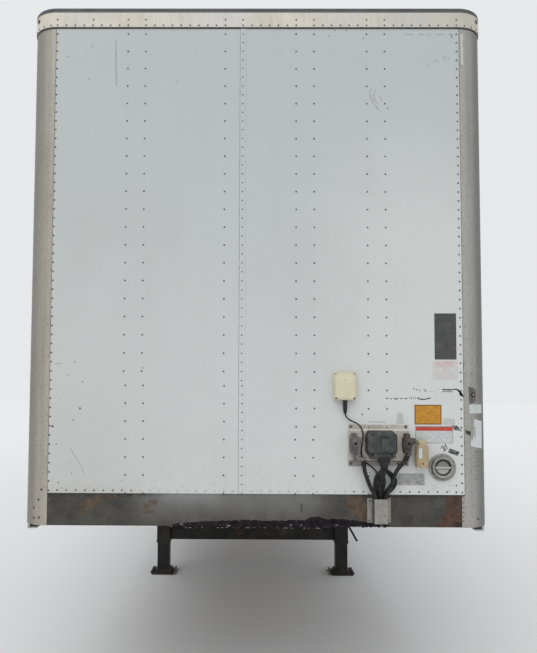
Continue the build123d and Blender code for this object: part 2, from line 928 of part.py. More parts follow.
# Bracing between the legs: a channel with an arched strap on it, back braces, cross shaft, gear box and crank
with BuildPart() as landing_bracing:
    brace_top = brace_bottom + brace_height
    leg_inner_face = leg_x - half_leg
    leg_face = leg_x + half_leg
    bar_along_x(
        [
            (gear_y - brace_depth / 2, brace_bottom),
            (gear_y + brace_depth / 2, brace_bottom),
            (gear_y + brace_depth / 2, brace_bottom + brace_plate),
            (gear_y - brace_depth / 2 + brace_plate, brace_bottom + brace_plate),
            (gear_y - brace_depth / 2 + brace_plate, brace_top - brace_plate),
            (gear_y + brace_depth / 2, brace_top - brace_plate),
            (gear_y + brace_depth / 2, brace_top),
            (gear_y - brace_depth / 2, brace_top),
        ],
        (-leg_inner_face, leg_inner_face),
    )
    arch_end = arch_crown - arch_drop
    arch_top = arch_crown + arch_height
    with BuildSketch(Plane.XZ.offset(-gear_y - arch_thickness / 2)):
        with BuildLine():
            ThreePointArc((-leg_inner_face, arch_end), (0, arch_crown), (leg_inner_face, arch_end))
            Line((leg_inner_face, arch_end), (leg_inner_face, arch_end + arch_height))
            ThreePointArc(
                (leg_inner_face, arch_end + arch_height), (0, arch_top), (-leg_inner_face, arch_end + arch_height)
            )
            Line((-leg_inner_face, arch_end + arch_height), (-leg_inner_face, arch_end))
        make_face()
    extrude(amount=arch_thickness)
    for side in (-1, 1):
        bar_along_x(
            [
                (gear_y + half_leg, back_brace_low),
                (gear_y + back_brace_reach + back_brace_foot, crossmember_bottom),
                (gear_y + back_brace_reach, crossmember_bottom),
                (gear_y + half_leg, back_brace_low + back_brace_height),
            ],
            (side * leg_x - back_brace_width / 2, side * leg_x + back_brace_width / 2),
        )
    rod(
        (-leg_inner_face, gear_y, gear_shaft_height),
        (leg_inner_face, gear_y, gear_shaft_height),
        gear_shaft_radius,
    )
    gear_box_sides = (gear_y - gear_box_width / 2, gear_y + gear_box_width / 2)
    block((leg_face, leg_face + gear_box_depth), gear_box_sides, gear_box_z)
    crank_x = leg_face + crank_offset
    crank_eye = crank_x + crank_radius
    rod((leg_face, gear_y, gear_shaft_height), (crank_eye, gear_y, gear_shaft_height), gear_shaft_radius)
    with BuildLine() as crank:
        FilletPolyline(
            (crank_x, gear_y, gear_shaft_height),
            (leg_face + crank_knee[0], gear_y, crank_knee[1]),
            (leg_face + crank_reach, gear_y, crank_low),
            radius=crank_bend,
        )
    with BuildSketch(Plane(origin=crank.line @ 0, z_dir=crank.line % 0)):
        Circle(crank_radius)
    sweep(path=crank.line)
save(landing_bracing, "landing_bracing")

# Tandem: slider frame
with BuildPart() as bogie_frame:
    slider_top = crossmember_bottom - body_rail_plate - slider_running_gap
    ear_x = body_rail_outer - body_rail_plate - slider_gap
    box_x = body_rail_outer - body_rail_foot - slider_gap
    ear_low = rail_low + body_rail_plate + slider_gap
    bogie_y = (tandem_y - bogie_length / 2, tandem_y + bogie_length / 2)
    bar_along_y(
        [
            (box_x - slider_width, slider_bottom),
            (box_x, slider_bottom),
            (box_x, ear_low),
            (ear_x, ear_low),
            (ear_x, slider_top),
            (box_x - slider_width, slider_top),
        ],
        bogie_y,
    )
    flap_y = bogie_y[1] - flap_inset
    flap_top = slider_bottom + flap_bar / 2
    flap_inner_x = track_to_dual_centre - flap_width / 2
    flap_bar_end = flap_inner_x + flap_width + flap_bar_overhang
    block((box_x, flap_bar_end), (flap_y, flap_y + flap_bar), (flap_top, flap_top + flap_bar))
    mirror(about=Plane.YZ)
    for tube_y in bogie_tube_places:
        block(
            (slider_width - box_x, box_x - slider_width),
            (tandem_y + tube_y - bogie_tube_width / 2, tandem_y + tube_y + bogie_tube_width / 2),
            (slider_bottom + bogie_tube_rise, slider_top - bogie_tube_drop),
        )
save(bogie_frame, "bogie_frame")

# Suspension: three-leaf springs clamped over the axles. Outer hangers press on their far ends, and the
# middle hanger's equaliser, on its pin, shares the load between the two ends that meet there.
spring_top = spring_seat + leaf_count * leaf_thickness
spring_middle = spring_inner_x + spring_width / 2
hanger_seat = spring_top + spring_bow + hanger_gap
arm_pin_z = spring_seat + arm_pin_rise
hanger_sides = (
    (spring_inner_x - hanger_side_gap - hanger_plate, spring_inner_x - hanger_side_gap),
    (spring_outer_x + hanger_side_gap, spring_outer_x + hanger_side_gap + hanger_plate),
)
hanger_span = (hanger_sides[0][0], hanger_sides[1][1])
with BuildPart() as suspension:
    for axle_y in axle_places.values():
        for leaf in range(leaf_count):
            leaf_half = spring_half - leaf_step * (leaf_count - 1 - leaf)
            low = spring_seat + leaf_thickness * leaf
            high = low + leaf_thickness
            end_rise = spring_bow * (leaf_half / spring_half) ** 2
            near, far = axle_y - leaf_half, axle_y + leaf_half
            with BuildSketch(Plane.YZ.offset(spring_inner_x)):
                with BuildLine():
                    ThreePointArc((near, low + end_rise), (axle_y, low), (far, low + end_rise))
                    Line((far, low + end_rise), (far, high + end_rise))
                    ThreePointArc((far, high + end_rise), (axle_y, high), (near, high + end_rise))
                    Line((near, high + end_rise), (near, low + end_rise))
                make_face()
            extrude(amount=spring_width)
        block(
            (spring_middle - clamp_width / 2, spring_middle + clamp_width / 2),
            (axle_y - clamp_length / 2, axle_y + clamp_length / 2),
            (spring_top, spring_top + clamp_plate),
        )
    for hanger_y in (tandem_y - axle_spread, tandem_y, tandem_y + axle_spread):
        plate_low = arm_pin_z - arm_pin_cover
        for hanger_side in hanger_sides:
            bar_along_x(
                [
                    (hanger_y - hanger_foot / 2, plate_low),
                    (hanger_y + hanger_foot / 2, plate_low),
                    (hanger_y + hanger_waist / 2, plate_low + hanger_waist_rise),
                    (hanger_y + hanger_head / 2, slider_bottom),
                    (hanger_y - hanger_head / 2, slider_bottom),
                    (hanger_y - hanger_waist / 2, plate_low + hanger_waist_rise),
                ],
                hanger_side,
            )
        block(
            (hanger_span[0], box_x),
            (hanger_y - hanger_head / 2, hanger_y + hanger_head / 2),
            (slider_bottom - hanger_plate, slider_bottom),
        )
        rod(
            (hanger_span[0] - arm_pin_proud, hanger_y, arm_pin_z),
            (hanger_span[1] + arm_pin_proud, hanger_y, arm_pin_z),
            arm_pin_radius,
        )
        if hanger_y == tandem_y:
            equaliser_top = hanger_seat + equaliser_height
            bar_along_x(
                [
                    (hanger_y - equaliser_length / 2, hanger_seat),
                    (hanger_y + equaliser_length / 2, hanger_seat),
                    (hanger_y + equaliser_length / 2, hanger_seat + equaliser_end),
                    (hanger_y + equaliser_crown / 2, equaliser_top),
                    (hanger_y - equaliser_crown / 2, equaliser_top),
                    (hanger_y - equaliser_length / 2, hanger_seat + equaliser_end),
                ],
                (spring_inner_x + equaliser_side_gap, spring_outer_x - equaliser_side_gap),
            )
            equaliser_pin_z = equaliser_top - equaliser_pin_drop
            rod(
                (hanger_span[0] - arm_pin_proud, hanger_y, equaliser_pin_z),
                (hanger_span[1] + arm_pin_proud, hanger_y, equaliser_pin_z),
                equaliser_pin_radius,
            )
        else:
            block(
                (hanger_sides[0][1], hanger_sides[1][0]),
                (hanger_y - hanger_waist / 2, hanger_y + hanger_waist / 2),
                (hanger_seat, hanger_seat + hanger_pad),
            )
    mirror(about=Plane.YZ)
save(suspension, "suspension")

# Axles with their brake gear, and the torque arms that hold them fore and aft on the hangers' pins
chamber_z = tyre_radius + chamber_rise
for axle_name, axle_y in axle_places.items():
    with BuildPart() as axle:
        rod((-axle_beam_end, axle_y, tyre_radius), (axle_beam_end, axle_y, tyre_radius), axle_radius)
        rod((-spindle_end, axle_y, tyre_radius), (spindle_end, axle_y, tyre_radius), spindle_radius)
        block(
            (spring_middle - seat_block_width / 2, spring_middle + seat_block_width / 2),
            (axle_y - seat_block_length / 2, axle_y + seat_block_length / 2),
            (tyre_radius, spring_seat),
        )
        rod((shield_x, axle_y, tyre_radius), (shield_x + shield_plate, axle_y, tyre_radius), shield_radius)
        brake_y = axle_y + brake_shaft_offset
        rod((chamber_x, brake_y, tyre_radius), (shield_x, brake_y, tyre_radius), brake_shaft_radius)
        block(
            (chamber_x - slack_width / 2, chamber_x + slack_width / 2),
            (brake_y - slack_length / 2, brake_y + slack_length / 2),
            (tyre_radius, chamber_z),
        )
        chamber_y = axle_y + chamber_near
        rod((chamber_x, chamber_y, chamber_z), (chamber_x, chamber_y + chamber_length, chamber_z), chamber_radius)
        band_y = chamber_y + (chamber_length - chamber_band_width) / 2
        band_radius = chamber_radius + chamber_band_proud
        rod((chamber_x, band_y, chamber_z), (chamber_x, band_y + chamber_band_width, chamber_z), band_radius)
        block(
            (chamber_x - chamber_bracket_width / 2, chamber_x + chamber_bracket_width / 2),
            (axle_y - chamber_bracket_width / 2, chamber_y),
            (tyre_radius, chamber_z + chamber_bracket_width / 2),
        )
        arm_pin_y = axle_y - axle_spread / 2
        arm_foot_y = axle_y - seat_block_length / 2 + arm_sunk
        arm_eye = (
            (spring_middle - arm_eye_width / 2, arm_pin_y, arm_pin_z),
            (spring_middle + arm_eye_width / 2, arm_pin_y, arm_pin_z),
        )
        arm_foot = (spring_middle, arm_foot_y, spring_seat - arm_foot_drop)
        rod((spring_middle, arm_pin_y, arm_pin_z), arm_foot, arm_radius)
        rod(*arm_eye, arm_eye_radius)
        rod(*arm_eye, arm_pin_radius + arm_pin_clearance, Mode.SUBTRACT)
        mirror(about=Plane.YZ)
    save(axle, f"axle_{axle_name}")

# Wheels: each pair of duals is two tyres and one solid of rims, discs, drum and hub
hub_bore = spindle_radius + spindle_clearance
rim_edge_x = dual_spacing / 2 + rim_depth
rim_inside = rim_radius - rim_wall
rim_profile = [
    (-rim_edge_x, rim_radius),
    (rim_edge_x, rim_radius),
    (rim_edge_x, rim_inside),
    (disc_outer_x, rim_inside),
    (disc_inner_x, hub_radius),
    (hub_face_x, hub_cap_radius),
    (hub_face_x, 0),
    (hub_face_x - hub_cap_wall, 0),
    (hub_face_x - hub_cap_wall, hub_bore),
    (hub_back_x, hub_bore),
    (hub_back_x, hub_back_radius),
    (drum_inner_x, hub_back_radius),
    (drum_inner_x, drum_radius),
    (drum_outer_x, drum_radius),
    (drum_outer_x, rim_inside),
    (-rim_edge_x, rim_inside),
]
# A tyre's half section as (distance from its middle, radius): bead, widest place, shoulder and tread's edge
bore_radius = (rim_radius + bead_clearance) / math.cos(math.pi / tyre_side_count)
tyre_half_section = [
    (bead_width / 2, bore_radius),
    (tyre_width / 2, tyre_belly_radius),
    (tyre_shoulder_width / 2, tyre_shoulder_radius),
    (tread_width / 2, tyre_radius),
]
tyre_section = tyre_half_section + [(-across, radius) for across, radius in reversed(tyre_half_section)]


def faceted_tyre(centre):
    """A tyre in flat facets, its closed section turned about the axle."""
    turns = [math.tau * corner / tyre_side_count for corner in range(tyre_side_count + 1)]
    rings = [
        [
            (centre[0] + across, centre[1] + radius * math.sin(turn), centre[2] - radius * math.cos(turn))
            for turn in turns
        ]
        for across, radius in tyre_section
    ]
    facets = []
    for near, far in zip(rings, rings[1:] + rings[:1]):
        for corner in range(tyre_side_count):
            corners = (near[corner], near[corner + 1], far[corner + 1], far[corner])
            facets.append(Face(Wire.make_polygon(corners)))
    return Solid(Shell(facets))


for axle_name, axle_y in axle_places.items():
    for side_name, side in (("road", 1), ("curb", -1)):
        hub_centre = (side * track_to_dual_centre, axle_y, tyre_radius)
        spin = Axis(hub_centre, (1, 0, 0))
        hub_plane = Plane(origin=hub_centre, x_dir=(side, 0, 0), z_dir=(0, -side, 0))
        with BuildPart() as wheel:
            with BuildSketch(hub_plane):
                with BuildLine():
                    Polyline(*rim_profile, close=True)
                make_face()
            revolve(axis=spin)
            for hand_hole in range(hand_hole_count):
                turn = math.tau * hand_hole / hand_hole_count
                hole_y = axle_y + hand_hole_place * math.sin(turn)
                hole_z = tyre_radius + hand_hole_place * math.cos(turn)
                hole_ends = [(hub_centre[0] + side * x, hole_y, hole_z) for x in (drum_outer_x, disc_outer_x)]
                rod(*hole_ends, hand_hole_radius, Mode.SUBTRACT)
        save(wheel, f"wheel_{axle_name}_{side_name}")
        with BuildPart() as tyres:
            for shift in (-dual_spacing / 2, dual_spacing / 2):
                add(faceted_tyre((hub_centre[0] + shift, axle_y, tyre_radius)))
        save(tyres, f"tyres_{axle_name}_{side_name}")

# Air tank and mud flaps
with BuildPart() as air_tank:
    rod((-tank_length / 2, tandem_y, tank_height), (tank_length / 2, tandem_y, tank_height), tank_radius)
    for side in (-1, 1):
        strap_x = side * tank_strap_spacing / 2
        block(
            (strap_x - tank_strap_width / 2, strap_x + tank_strap_width / 2),
            (tandem_y - tank_strap_length / 2, tandem_y + tank_strap_length / 2),
            (tank_height, slider_bottom + bogie_tube_rise),
        )
save(air_tank, "air_tank")

with BuildPart() as mud_flaps:
    flap_face = flap_y + flap_bar / 2
    block(
        (flap_inner_x, flap_inner_x + flap_width),
        (flap_face - flap_thickness / 2, flap_face + flap_thickness / 2),
        (flap_bottom, flap_top),
    )
    mirror(about=Plane.YZ)
save(mud_flaps, "mud_flaps")

# Nose plate: flanges screwed to the wall above and below a raised middle
with BuildPart() as nose_plate:
    raised_face = front_y - plate_depth
    flange_face = front_y - plate_flange
    bar_along_x(
        [
            (front_y, plate_z[0]),
            (front_y, plate_z[1]),
            (flange_face, plate_z[1]),
            (flange_face, plate_raised_z[1]),
            (raised_face, plate_raised_z[1] - plate_bend),
            (raised_face, plate_raised_z[0]),
            (flange_face, plate_raised_z[0]),
            (flange_face, plate_z[0]),
        ],
        plate_x,
    )
save(nose_plate, "nose_plate")

# Nose box: the socket's housing with its hinged lid, latches, and the gland its harness leaves by
with BuildPart() as nose_box:
    box_face = raised_face - nose_box_depth
    lid_face = box_face - lid_depth
    with BuildSketch(Plane.XZ.offset(-raised_face)):
        with BuildLine():
            Polyline(*nose_box_outline, close=True)
        make_face()
    extrude(amount=nose_box_depth, taper=nose_box_taper)
    with BuildSketch(Plane.XZ.offset(-box_face)):
        with BuildLine():
            Polyline(*lid_outline, close=True)
        make_face()
    extrude(amount=lid_depth, taper=lid_taper)
    with BuildSketch(Plane.XZ.offset(-lid_face)):
        with Locations(lid_pad_place):
            RectangleRounded(*lid_pad_size, lid_pad_round)
    extrude(amount=lid_pad_rise, taper=lid_pad_taper)
    block(lid_slot_x, (lid_face, lid_face + lid_slot_depth), lid_slot_z, Mode.SUBTRACT)
    hinge_z = nose_box_outline[2][1] - lid_hinge_radius
    rod((lid_hinge_x[0], box_face, hinge_z), (lid_hinge_x[1], box_face, hinge_z), lid_hinge_radius)
    for latch_x in latch_places:
        latch_sides = (latch_x - latch_width / 2, latch_x + latch_width / 2)
        block(latch_sides, (box_face - latch_rise, box_face), latch_z)
    rod((harness_x, harness_y, gland_top), (harness_x, harness_y, gland_bottom), gland_radius)
save(nose_box, "nose_box")

# Gladhands: a cast body with its coupling face, seal and side arm, and an elbow that the hose starts from
elbow_y = raised_face - gladhand_palm_depth
curb_hose_start = (curb_hose_x, harness_y, curb_hose_z)
road_hose_start = (road_hose_x, elbow_y, road_hose_z)
with BuildPart() as gladhands:
    for hand_x in gladhand_x.values():
        with BuildSketch(Plane((hand_x, raised_face, 0), x_dir=(1, 0, 0), z_dir=(0, -1, 0))):
            with BuildLine():
                Polyline(*gladhand_outline, close=True)
            make_face()
        extrude(amount=gladhand_body_depth, taper=gladhand_taper)
        seal_y = raised_face - gladhand_depth
        face_y = seal_y + gladhand_seal_depth
        face_centre = (hand_x, face_y, gladhand_face_z)
        seal_centre = (hand_x, seal_y, gladhand_face_z)
        rod((hand_x, raised_face, gladhand_face_z), face_centre, gladhand_face_radius)
        rod(face_centre, seal_centre, gladhand_seal_radius)
        rod(face_centre, seal_centre, gladhand_seal_bore, Mode.SUBTRACT)
        arm_y = raised_face - gladhand_arm_out
        arm_ends = [(hand_x + reach, arm_y, gladhand_arm_z) for reach in (0, gladhand_arm_reach)]
        rod(*arm_ends, gladhand_arm_radius)
    curb_x = gladhand_x["curb"]
    elbow_sides = (harness_y - elbow_width / 2, harness_y + elbow_width / 2)
    block((curb_x, curb_hose_x + elbow_width / 2), elbow_sides, (curb_hose_z, curb_hose_z + elbow_width))
    block(
        (curb_x, curb_x + elbow_width),
        (elbow_sides[0], raised_face),
        (curb_hose_z, gladhand_outline[0][1] + gladhand_lap),
    )
    rod((road_elbow_top[0], elbow_y, road_elbow_top[1]), road_hose_start, elbow_radius)
save(gladhands, "gladhands")

# Sensor box: a moulded case with a raised lid and the gland under it
sensor_gland_y = front_y - sensor_gland_standoff
sensor_cable_start = (sensor_gland_x, sensor_gland_y, sensor_gland_z)
with BuildPart() as sensor_box:
    sensor_wide = sensor_x[1] - sensor_x[0]
    sensor_high = sensor_z[1] - sensor_z[0]
    sensor_centre = ((sensor_x[0] + sensor_x[1]) / 2, (sensor_z[0] + sensor_z[1]) / 2)
    with BuildSketch(Plane.XZ.offset(-front_y)):
        with Locations(sensor_centre):
            RectangleRounded(sensor_wide, sensor_high, sensor_round)
    extrude(amount=sensor_depth, taper=sensor_taper)
    with BuildSketch(Plane.XZ.offset(-front_y + sensor_depth)):
        with Locations(sensor_centre):
            lid_size = (sensor_wide - 2 * sensor_lid_inset, sensor_high - 2 * sensor_lid_inset)
            RectangleRounded(*lid_size, sensor_round)
    extrude(amount=sensor_lid_rise, taper=sensor_taper)
    gland_root = (sensor_gland_x, sensor_gland_y, sensor_z[0] + sensor_gland_sunk)
    rod(gland_root, sensor_cable_start, sensor_gland_radius)
save(sensor_box, "sensor_box")

# Document tube with its screwed cap and drain boss, on a clip
with BuildPart() as document_tube:
    tube_y = front_y - tube_radius - tube_gap
    rod((tube_x, tube_y, tube_z[0]), (tube_x, tube_y, tube_z[1]), tube_radius)
    rod((tube_x, tube_y, tube_z[1]), (tube_x, tube_y, tube_top), tube_neck_radius)
    rod((tube_x, tube_y, tube_cap_bottom), (tube_x, tube_y, tube_top), tube_cap_radius)
    boss_face = tube_y - tube_radius - tube_boss_rise
    rod((tube_x, tube_y, tube_boss_z), (tube_x, boss_face, tube_boss_z), tube_boss_radius)
    bore_end = (tube_x, boss_face + tube_boss_bore_depth, tube_boss_z)
    rod(bore_end, (tube_x, boss_face, tube_boss_z), tube_boss_bore, Mode.SUBTRACT)
    block(
        (tube_x - tube_clip_width / 2, tube_x + tube_clip_width / 2),
        (front_y - tube_clip_depth, front_y),
        tube_clip_z,
    )
save(document_tube, "document_tube")

# Round document holder: a turned flange and rim, with a dome behind the bar that papers slip under
with BuildPart() as document_holder:
    holder_face = front_y - holder_depth
    holder_floor = front_y - holder_base
    with BuildSketch(Plane((holder_x, front_y, holder_z), x_dir=(1, 0, 0), z_dir=(0, 0, 1))):
        with BuildLine():
            Polyline(*((radius, -depth) for radius, depth in holder_section), close=True)
        make_face()
    revolve(axis=Axis((holder_x, front_y, holder_z), (0, 1, 0)))
    dome_face = holder_floor - holder_dome_rise
    rod((holder_x, holder_floor, holder_z), (holder_x, dome_face, holder_z), holder_dome_radius)
    block(
        (holder_x - holder_bar_length / 2, holder_x + holder_bar_length / 2),
        (holder_face + holder_bar_recess, holder_floor),
        (holder_z - holder_bar_height / 2, holder_z + holder_bar_height / 2),
    )
save(document_holder, "document_holder")

# Cover on the sill: a hat section, open at the top, over the block that the hoses go in at
with BuildPart() as cable_cover:
    bar_along_z(
        [
            (cover_x[0], sill_face),
            (cover_x[1], sill_face),
            (cover_x[1], sill_face - cover_plate),
            (cover_hat_x[1] + cover_bend, sill_face - cover_plate),
            (cover_hat_x[1], sill_face - cover_depth),
            (cover_hat_x[0], sill_face - cover_depth),
            (cover_hat_x[0] - cover_bend, sill_face - cover_plate),
            (cover_x[0], sill_face - cover_plate),
        ],
        cover_z,
    )
    block(
        (cover_hat_x[0] + cover_plate, cover_hat_x[1] - cover_plate),
        (sill_face - cover_depth + cover_plate, sill_face),
        (cord_end_z, cover_z[1]),
        Mode.SUBTRACT,
    )
save(cable_cover, "cable_cover")


def cord(points, diameter):
    """A round cord along straight runs with the widest tangent arcs that they allow."""
    stations = [Vector(*point) for point in points]
    runs = [after - before for before, after in zip(stations, stations[1:])]
    radii = []
    for before, after in zip(runs, runs[1:]):
        half_turn = math.radians(before.get_angle(after)) / 2
        radii.append(0.45 * min(before.length, after.length) / math.tan(half_turn))
    print("cord", diameter, "radii", [round(radius) for radius in radii])
    with BuildPart() as solid:
        with BuildLine() as route:
            FilletPolyline(*points, radius=radii)
        with BuildSketch(Plane(origin=route.line @ 0, z_dir=route.line % 0)):
            Circle(diameter / 2)
        sweep(path=route.line)
    return solid


# Air hoses from the gladhands, the harness from the nose box and the sensor's cable, all into the cover
front_row_y = front_y - 30
back_row_y = front_y - 9
cords = {
    "air_hose_curb": (
        hose_diameter,
        [
            curb_hose_start,
            (586, front_y - 50, 1522),
            (601, front_y - 50, 1470),
            (626, front_y - 45, 1408),
            (657, front_row_y, 1362),
            (657, front_row_y, cord_end_z),
        ],
    ),
    "air_hose_road": (
        hose_diameter,
        [
            road_hose_start,
            (804.15, front_y - 52, 1554),
            (768, front_y - 57, 1520),
            (748, front_y - 58, 1478),
            (738, front_y - 54, 1438),
            (724, front_y - 44, 1400),
            (703, front_row_y, 1362),
            (703, front_row_y, cord_end_z),
        ],
    ),
    "harness_curb": (
        harness_diameter,
        [
            (harness_x - harness_spread, harness_y, gland_bottom),
            (harness_x - harness_spread, harness_y, 1508),
            (654, front_y - 40, 1482),
            (637, front_y - 30, 1442),
            (648, front_y - 16, 1400),
            (664, back_row_y, 1362),
            (664, back_row_y, cord_end_z),
        ],
    ),
    "harness_road": (
        harness_diameter,
        [
            (harness_x + harness_spread, harness_y, gland_bottom),
            (harness_x + harness_spread, harness_y, 1510),
            (738, front_y - 36, 1484),
            (758, front_y - 28, 1450),
            (742, front_y - 18, 1412),
            (712, front_y - 11, 1386),
            (694, back_row_y, 1358),
            (694, back_row_y, cord_end_z),
        ],
    ),
    "sensor_cable": (
        sensor_cable_diameter,
        [
            sensor_cable_start,
            (490, front_y - 20, 1800),
            (519, front_y - 18, 1776),
            (564, front_y - 24, 1758),
            (587, front_y - 29, 1718),
            (586, front_y - 28, 1670),
            (576, front_y - 28, 1622),
            (578, front_y - 28, 1582),
            (603, front_y - 28, 1547),
            (636, front_y - 17, 1524),
            (664, front_y - 10, 1498),
            (680, front_y - 10, 1456),
            (686, front_y - 9, 1410),
            (679, back_row_y, 1362),
            (679, back_row_y, cord_end_z),
        ],
    ),
}
for cord_name, (cord_diameter, cord_points) in cords.items():
    save(cord(cord_points, cord_diameter), cord_name)

# Lamps: clearance lamps on the front corners, side lamps, identification lamps and tail lamps
with BuildPart() as lamps:
    lean = math.radians(corner_lamp_turn)
    lamp_z = rail_bottom + corner_lamp_rise
    for side in (-1, 1):
        out = (side * math.cos(lean), -math.sin(lean))
        foot_reach = corner_radius + rail_proud - corner_lamp_sunk
        face_reach = corner_radius + rail_proud + corner_lamp_proud
        foot = (side * turn_x + out[0] * foot_reach, turn_y + out[1] * foot_reach, lamp_z)
        face = (side * turn_x + out[0] * face_reach, turn_y + out[1] * face_reach, lamp_z)
        rod(foot, face, corner_lamp_radius)
    extrude(body_outline(rail_bottom, rail_proud, rail_end_y), amount=rail_height, mode=Mode.SUBTRACT)
    for side in (-1, 1):
        for lamp_y in (front_y + side_lamp_setback, 0, rear_y - side_lamp_setback):
            lamp_start = side * (half_width + bottom_rail_proud)
            lamp_end = lamp_start + side * side_lamp_proud
            rod((lamp_start, lamp_y, side_lamp_z), (lamp_end, lamp_y, side_lamp_z), side_lamp_radius)
    header_z = body_height - rear_header_height / 2
    tail_z = floor_top - rear_sill_height / 2
    rear_lamps = [(middle_x, header_z, middle_lamp_radius) for middle_x in middle_lamp_places]
    for side in (-1, 1):
        rear_lamps.append((side * (post_inner_x - header_lamp_inset), header_z, header_lamp_radius))
        for inset in tail_lamp_insets:
            rear_lamps.append((side * (post_inner_x - inset), tail_z, tail_lamp_radius))
    for lamp_x, lamp_z, lamp_radius in rear_lamps:
        rod((lamp_x, rear_y, lamp_z), (lamp_x, rear_y + rear_lamp_depth, lamp_z), lamp_radius)
save(lamps, "lamps")
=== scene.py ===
import math
import random

import bmesh
import bpy
from mathutils import Matrix, Vector


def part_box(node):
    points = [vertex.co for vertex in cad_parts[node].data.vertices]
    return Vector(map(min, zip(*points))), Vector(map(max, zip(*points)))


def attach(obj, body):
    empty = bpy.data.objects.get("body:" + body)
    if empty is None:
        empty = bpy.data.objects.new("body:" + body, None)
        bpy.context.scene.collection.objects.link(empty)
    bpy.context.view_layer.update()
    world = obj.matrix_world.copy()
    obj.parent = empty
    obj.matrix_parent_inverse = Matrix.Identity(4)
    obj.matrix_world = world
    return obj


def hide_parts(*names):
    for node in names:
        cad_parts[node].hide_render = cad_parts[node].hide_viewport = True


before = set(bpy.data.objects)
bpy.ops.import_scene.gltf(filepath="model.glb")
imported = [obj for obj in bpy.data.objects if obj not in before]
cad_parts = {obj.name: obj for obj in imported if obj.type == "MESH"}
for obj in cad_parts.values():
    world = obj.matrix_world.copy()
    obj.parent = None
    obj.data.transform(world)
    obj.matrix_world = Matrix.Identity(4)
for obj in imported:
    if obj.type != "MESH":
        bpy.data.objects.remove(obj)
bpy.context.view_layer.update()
scene = bpy.context.scene
scene.view_settings.view_transform = "Standard"


# Camera at the photographer's place: eye level, close in front of the wall, turned a little and tilted up.
# The photograph's frame is cut off centre, which the two shifts repeat.
wall_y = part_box("front_wall")[0].y
image_width, image_height = 537, 653
focal_length = 681.88
frame_centre = (245.083, 344.715)
eye = Vector((-0.035, wall_y - 3.7857, 1.9785))
yaw, pitch, roll = (math.radians(angle) for angle in (-0.402, 3.231, 0.243))

level_right = Vector((math.cos(yaw), -math.sin(yaw), 0))
sight = Vector((math.sin(yaw) * math.cos(pitch), math.cos(yaw) * math.cos(pitch), math.sin(pitch)))
level_up = level_right.cross(sight)
camera_right = level_right * math.cos(roll) + level_up * math.sin(roll)
camera_up = level_up * math.cos(roll) - level_right * math.sin(roll)
camera_axes = Matrix((camera_right, camera_up, -sight)).transposed()

lens = bpy.data.cameras.new("camera")
lens.sensor_width = 36
lens.lens = focal_length * lens.sensor_width / image_height
lens.shift_x = (image_width / 2 - frame_centre[0]) / image_height
lens.shift_y = (frame_centre[1] - image_height / 2) / image_height
lens.clip_end = 200
camera = bpy.data.objects.new("camera", lens)
scene.collection.objects.link(camera)
camera.matrix_world = Matrix.Translation(eye) @ camera_axes.to_4x4()
scene.camera = camera


# Studio: a pale floor, an even pale surround and one wide soft lamp high in front.
# The camera and mirrored rays see a plain backdrop, and a slightly brighter one lights the trailer.
def put(where, kind, inputs=None, **settings):
    """Adds a shader node to a tree, or to a socket's tree, sets or links its inputs, and returns it."""
    tree = where.id_data
    made = tree.nodes.new("ShaderNode" + kind)
    for setting, value in settings.items():
        setattr(made, setting, value)
    for socket, value in (inputs or {}).items():
        if isinstance(value, bpy.types.NodeSocket):
            tree.links.new(value, made.inputs[socket])
        else:
            made.inputs[socket].default_value = value
    return made


def sums(operation, first, second=0.0, clamp=False):
    """One sum of two values, of which one at least is a socket."""
    where = first if isinstance(first, bpy.types.NodeSocket) else second
    return put(where, "Math", {0: first, 1: second}, operation=operation, use_clamp=clamp).outputs[0]


floor_half = 60
floor_corners = [(x * floor_half, y * floor_half, 0) for x, y in ((-1, -1), (1, -1), (1, 1), (-1, 1))]
floor_mesh = bpy.data.meshes.new("studio_floor")
floor_mesh.from_pydata(floor_corners, [], [(0, 1, 2, 3)])
studio_floor = bpy.data.objects.new("studio_floor", floor_mesh)
scene.collection.objects.link(studio_floor)

floor_paint = bpy.data.materials.new("studio_floor")
floor_paint.use_nodes = True
floor_shader = floor_paint.node_tree.nodes["Principled BSDF"]
floor_shader.inputs["Base Color"].default_value = (0.76, 0.76, 0.755, 1)
floor_shader.inputs["Roughness"].default_value = 0.95
floor_mesh.materials.append(floor_paint)

world = bpy.data.worlds.new("surround")
scene.world = world
world.use_nodes = True
sky = world.node_tree
sky.nodes.clear()
rays = put(sky, "LightPath").outputs
mirrored = sums("MAXIMUM", rays["Is Glossy Ray"], rays["Is Transmission Ray"])
seen = sums("MAXIMUM", rays["Is Camera Ray"], mirrored)
lit = put(sky, "Background", {"Color": (0.95, 0.97, 1, 1), "Strength": 0.88}).outputs[0]
backdrop = put(sky, "Background", {"Color": (0.8, 0.81, 0.82, 1)}).outputs[0]
chosen = put(sky, "MixShader", {0: seen, 1: lit, 2: backdrop}).outputs[0]
put(sky, "OutputWorld", {0: chosen})

lamp = bpy.data.lights.new("soft_lamp", "SUN")
lamp.energy = 0.92
lamp.angle = math.radians(50)
soft_lamp = bpy.data.objects.new("soft_lamp", lamp)
soft_lamp.rotation_euler = (math.radians(38), 0, math.radians(-18))
scene.collection.objects.link(soft_lamp)


# Front wall: prepainted white aluminium sheets, riveted to upright posts behind them.
# Years of spray have dulled them outside, and inside they are lined with plywood.
wall_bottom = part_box("front_wall")[0].z
half_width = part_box("side_wall_road")[1].x


def plus(first, second):
    """Two shares added up, kept between 0 and 1."""
    return sums("ADD", first, second, clamp=True)


def times(first, *others):
    """Shares multiplied together, kept between 0 and 1."""
    for other in others:
        first = sums("MULTIPLY", first, other, clamp=True)
    return first


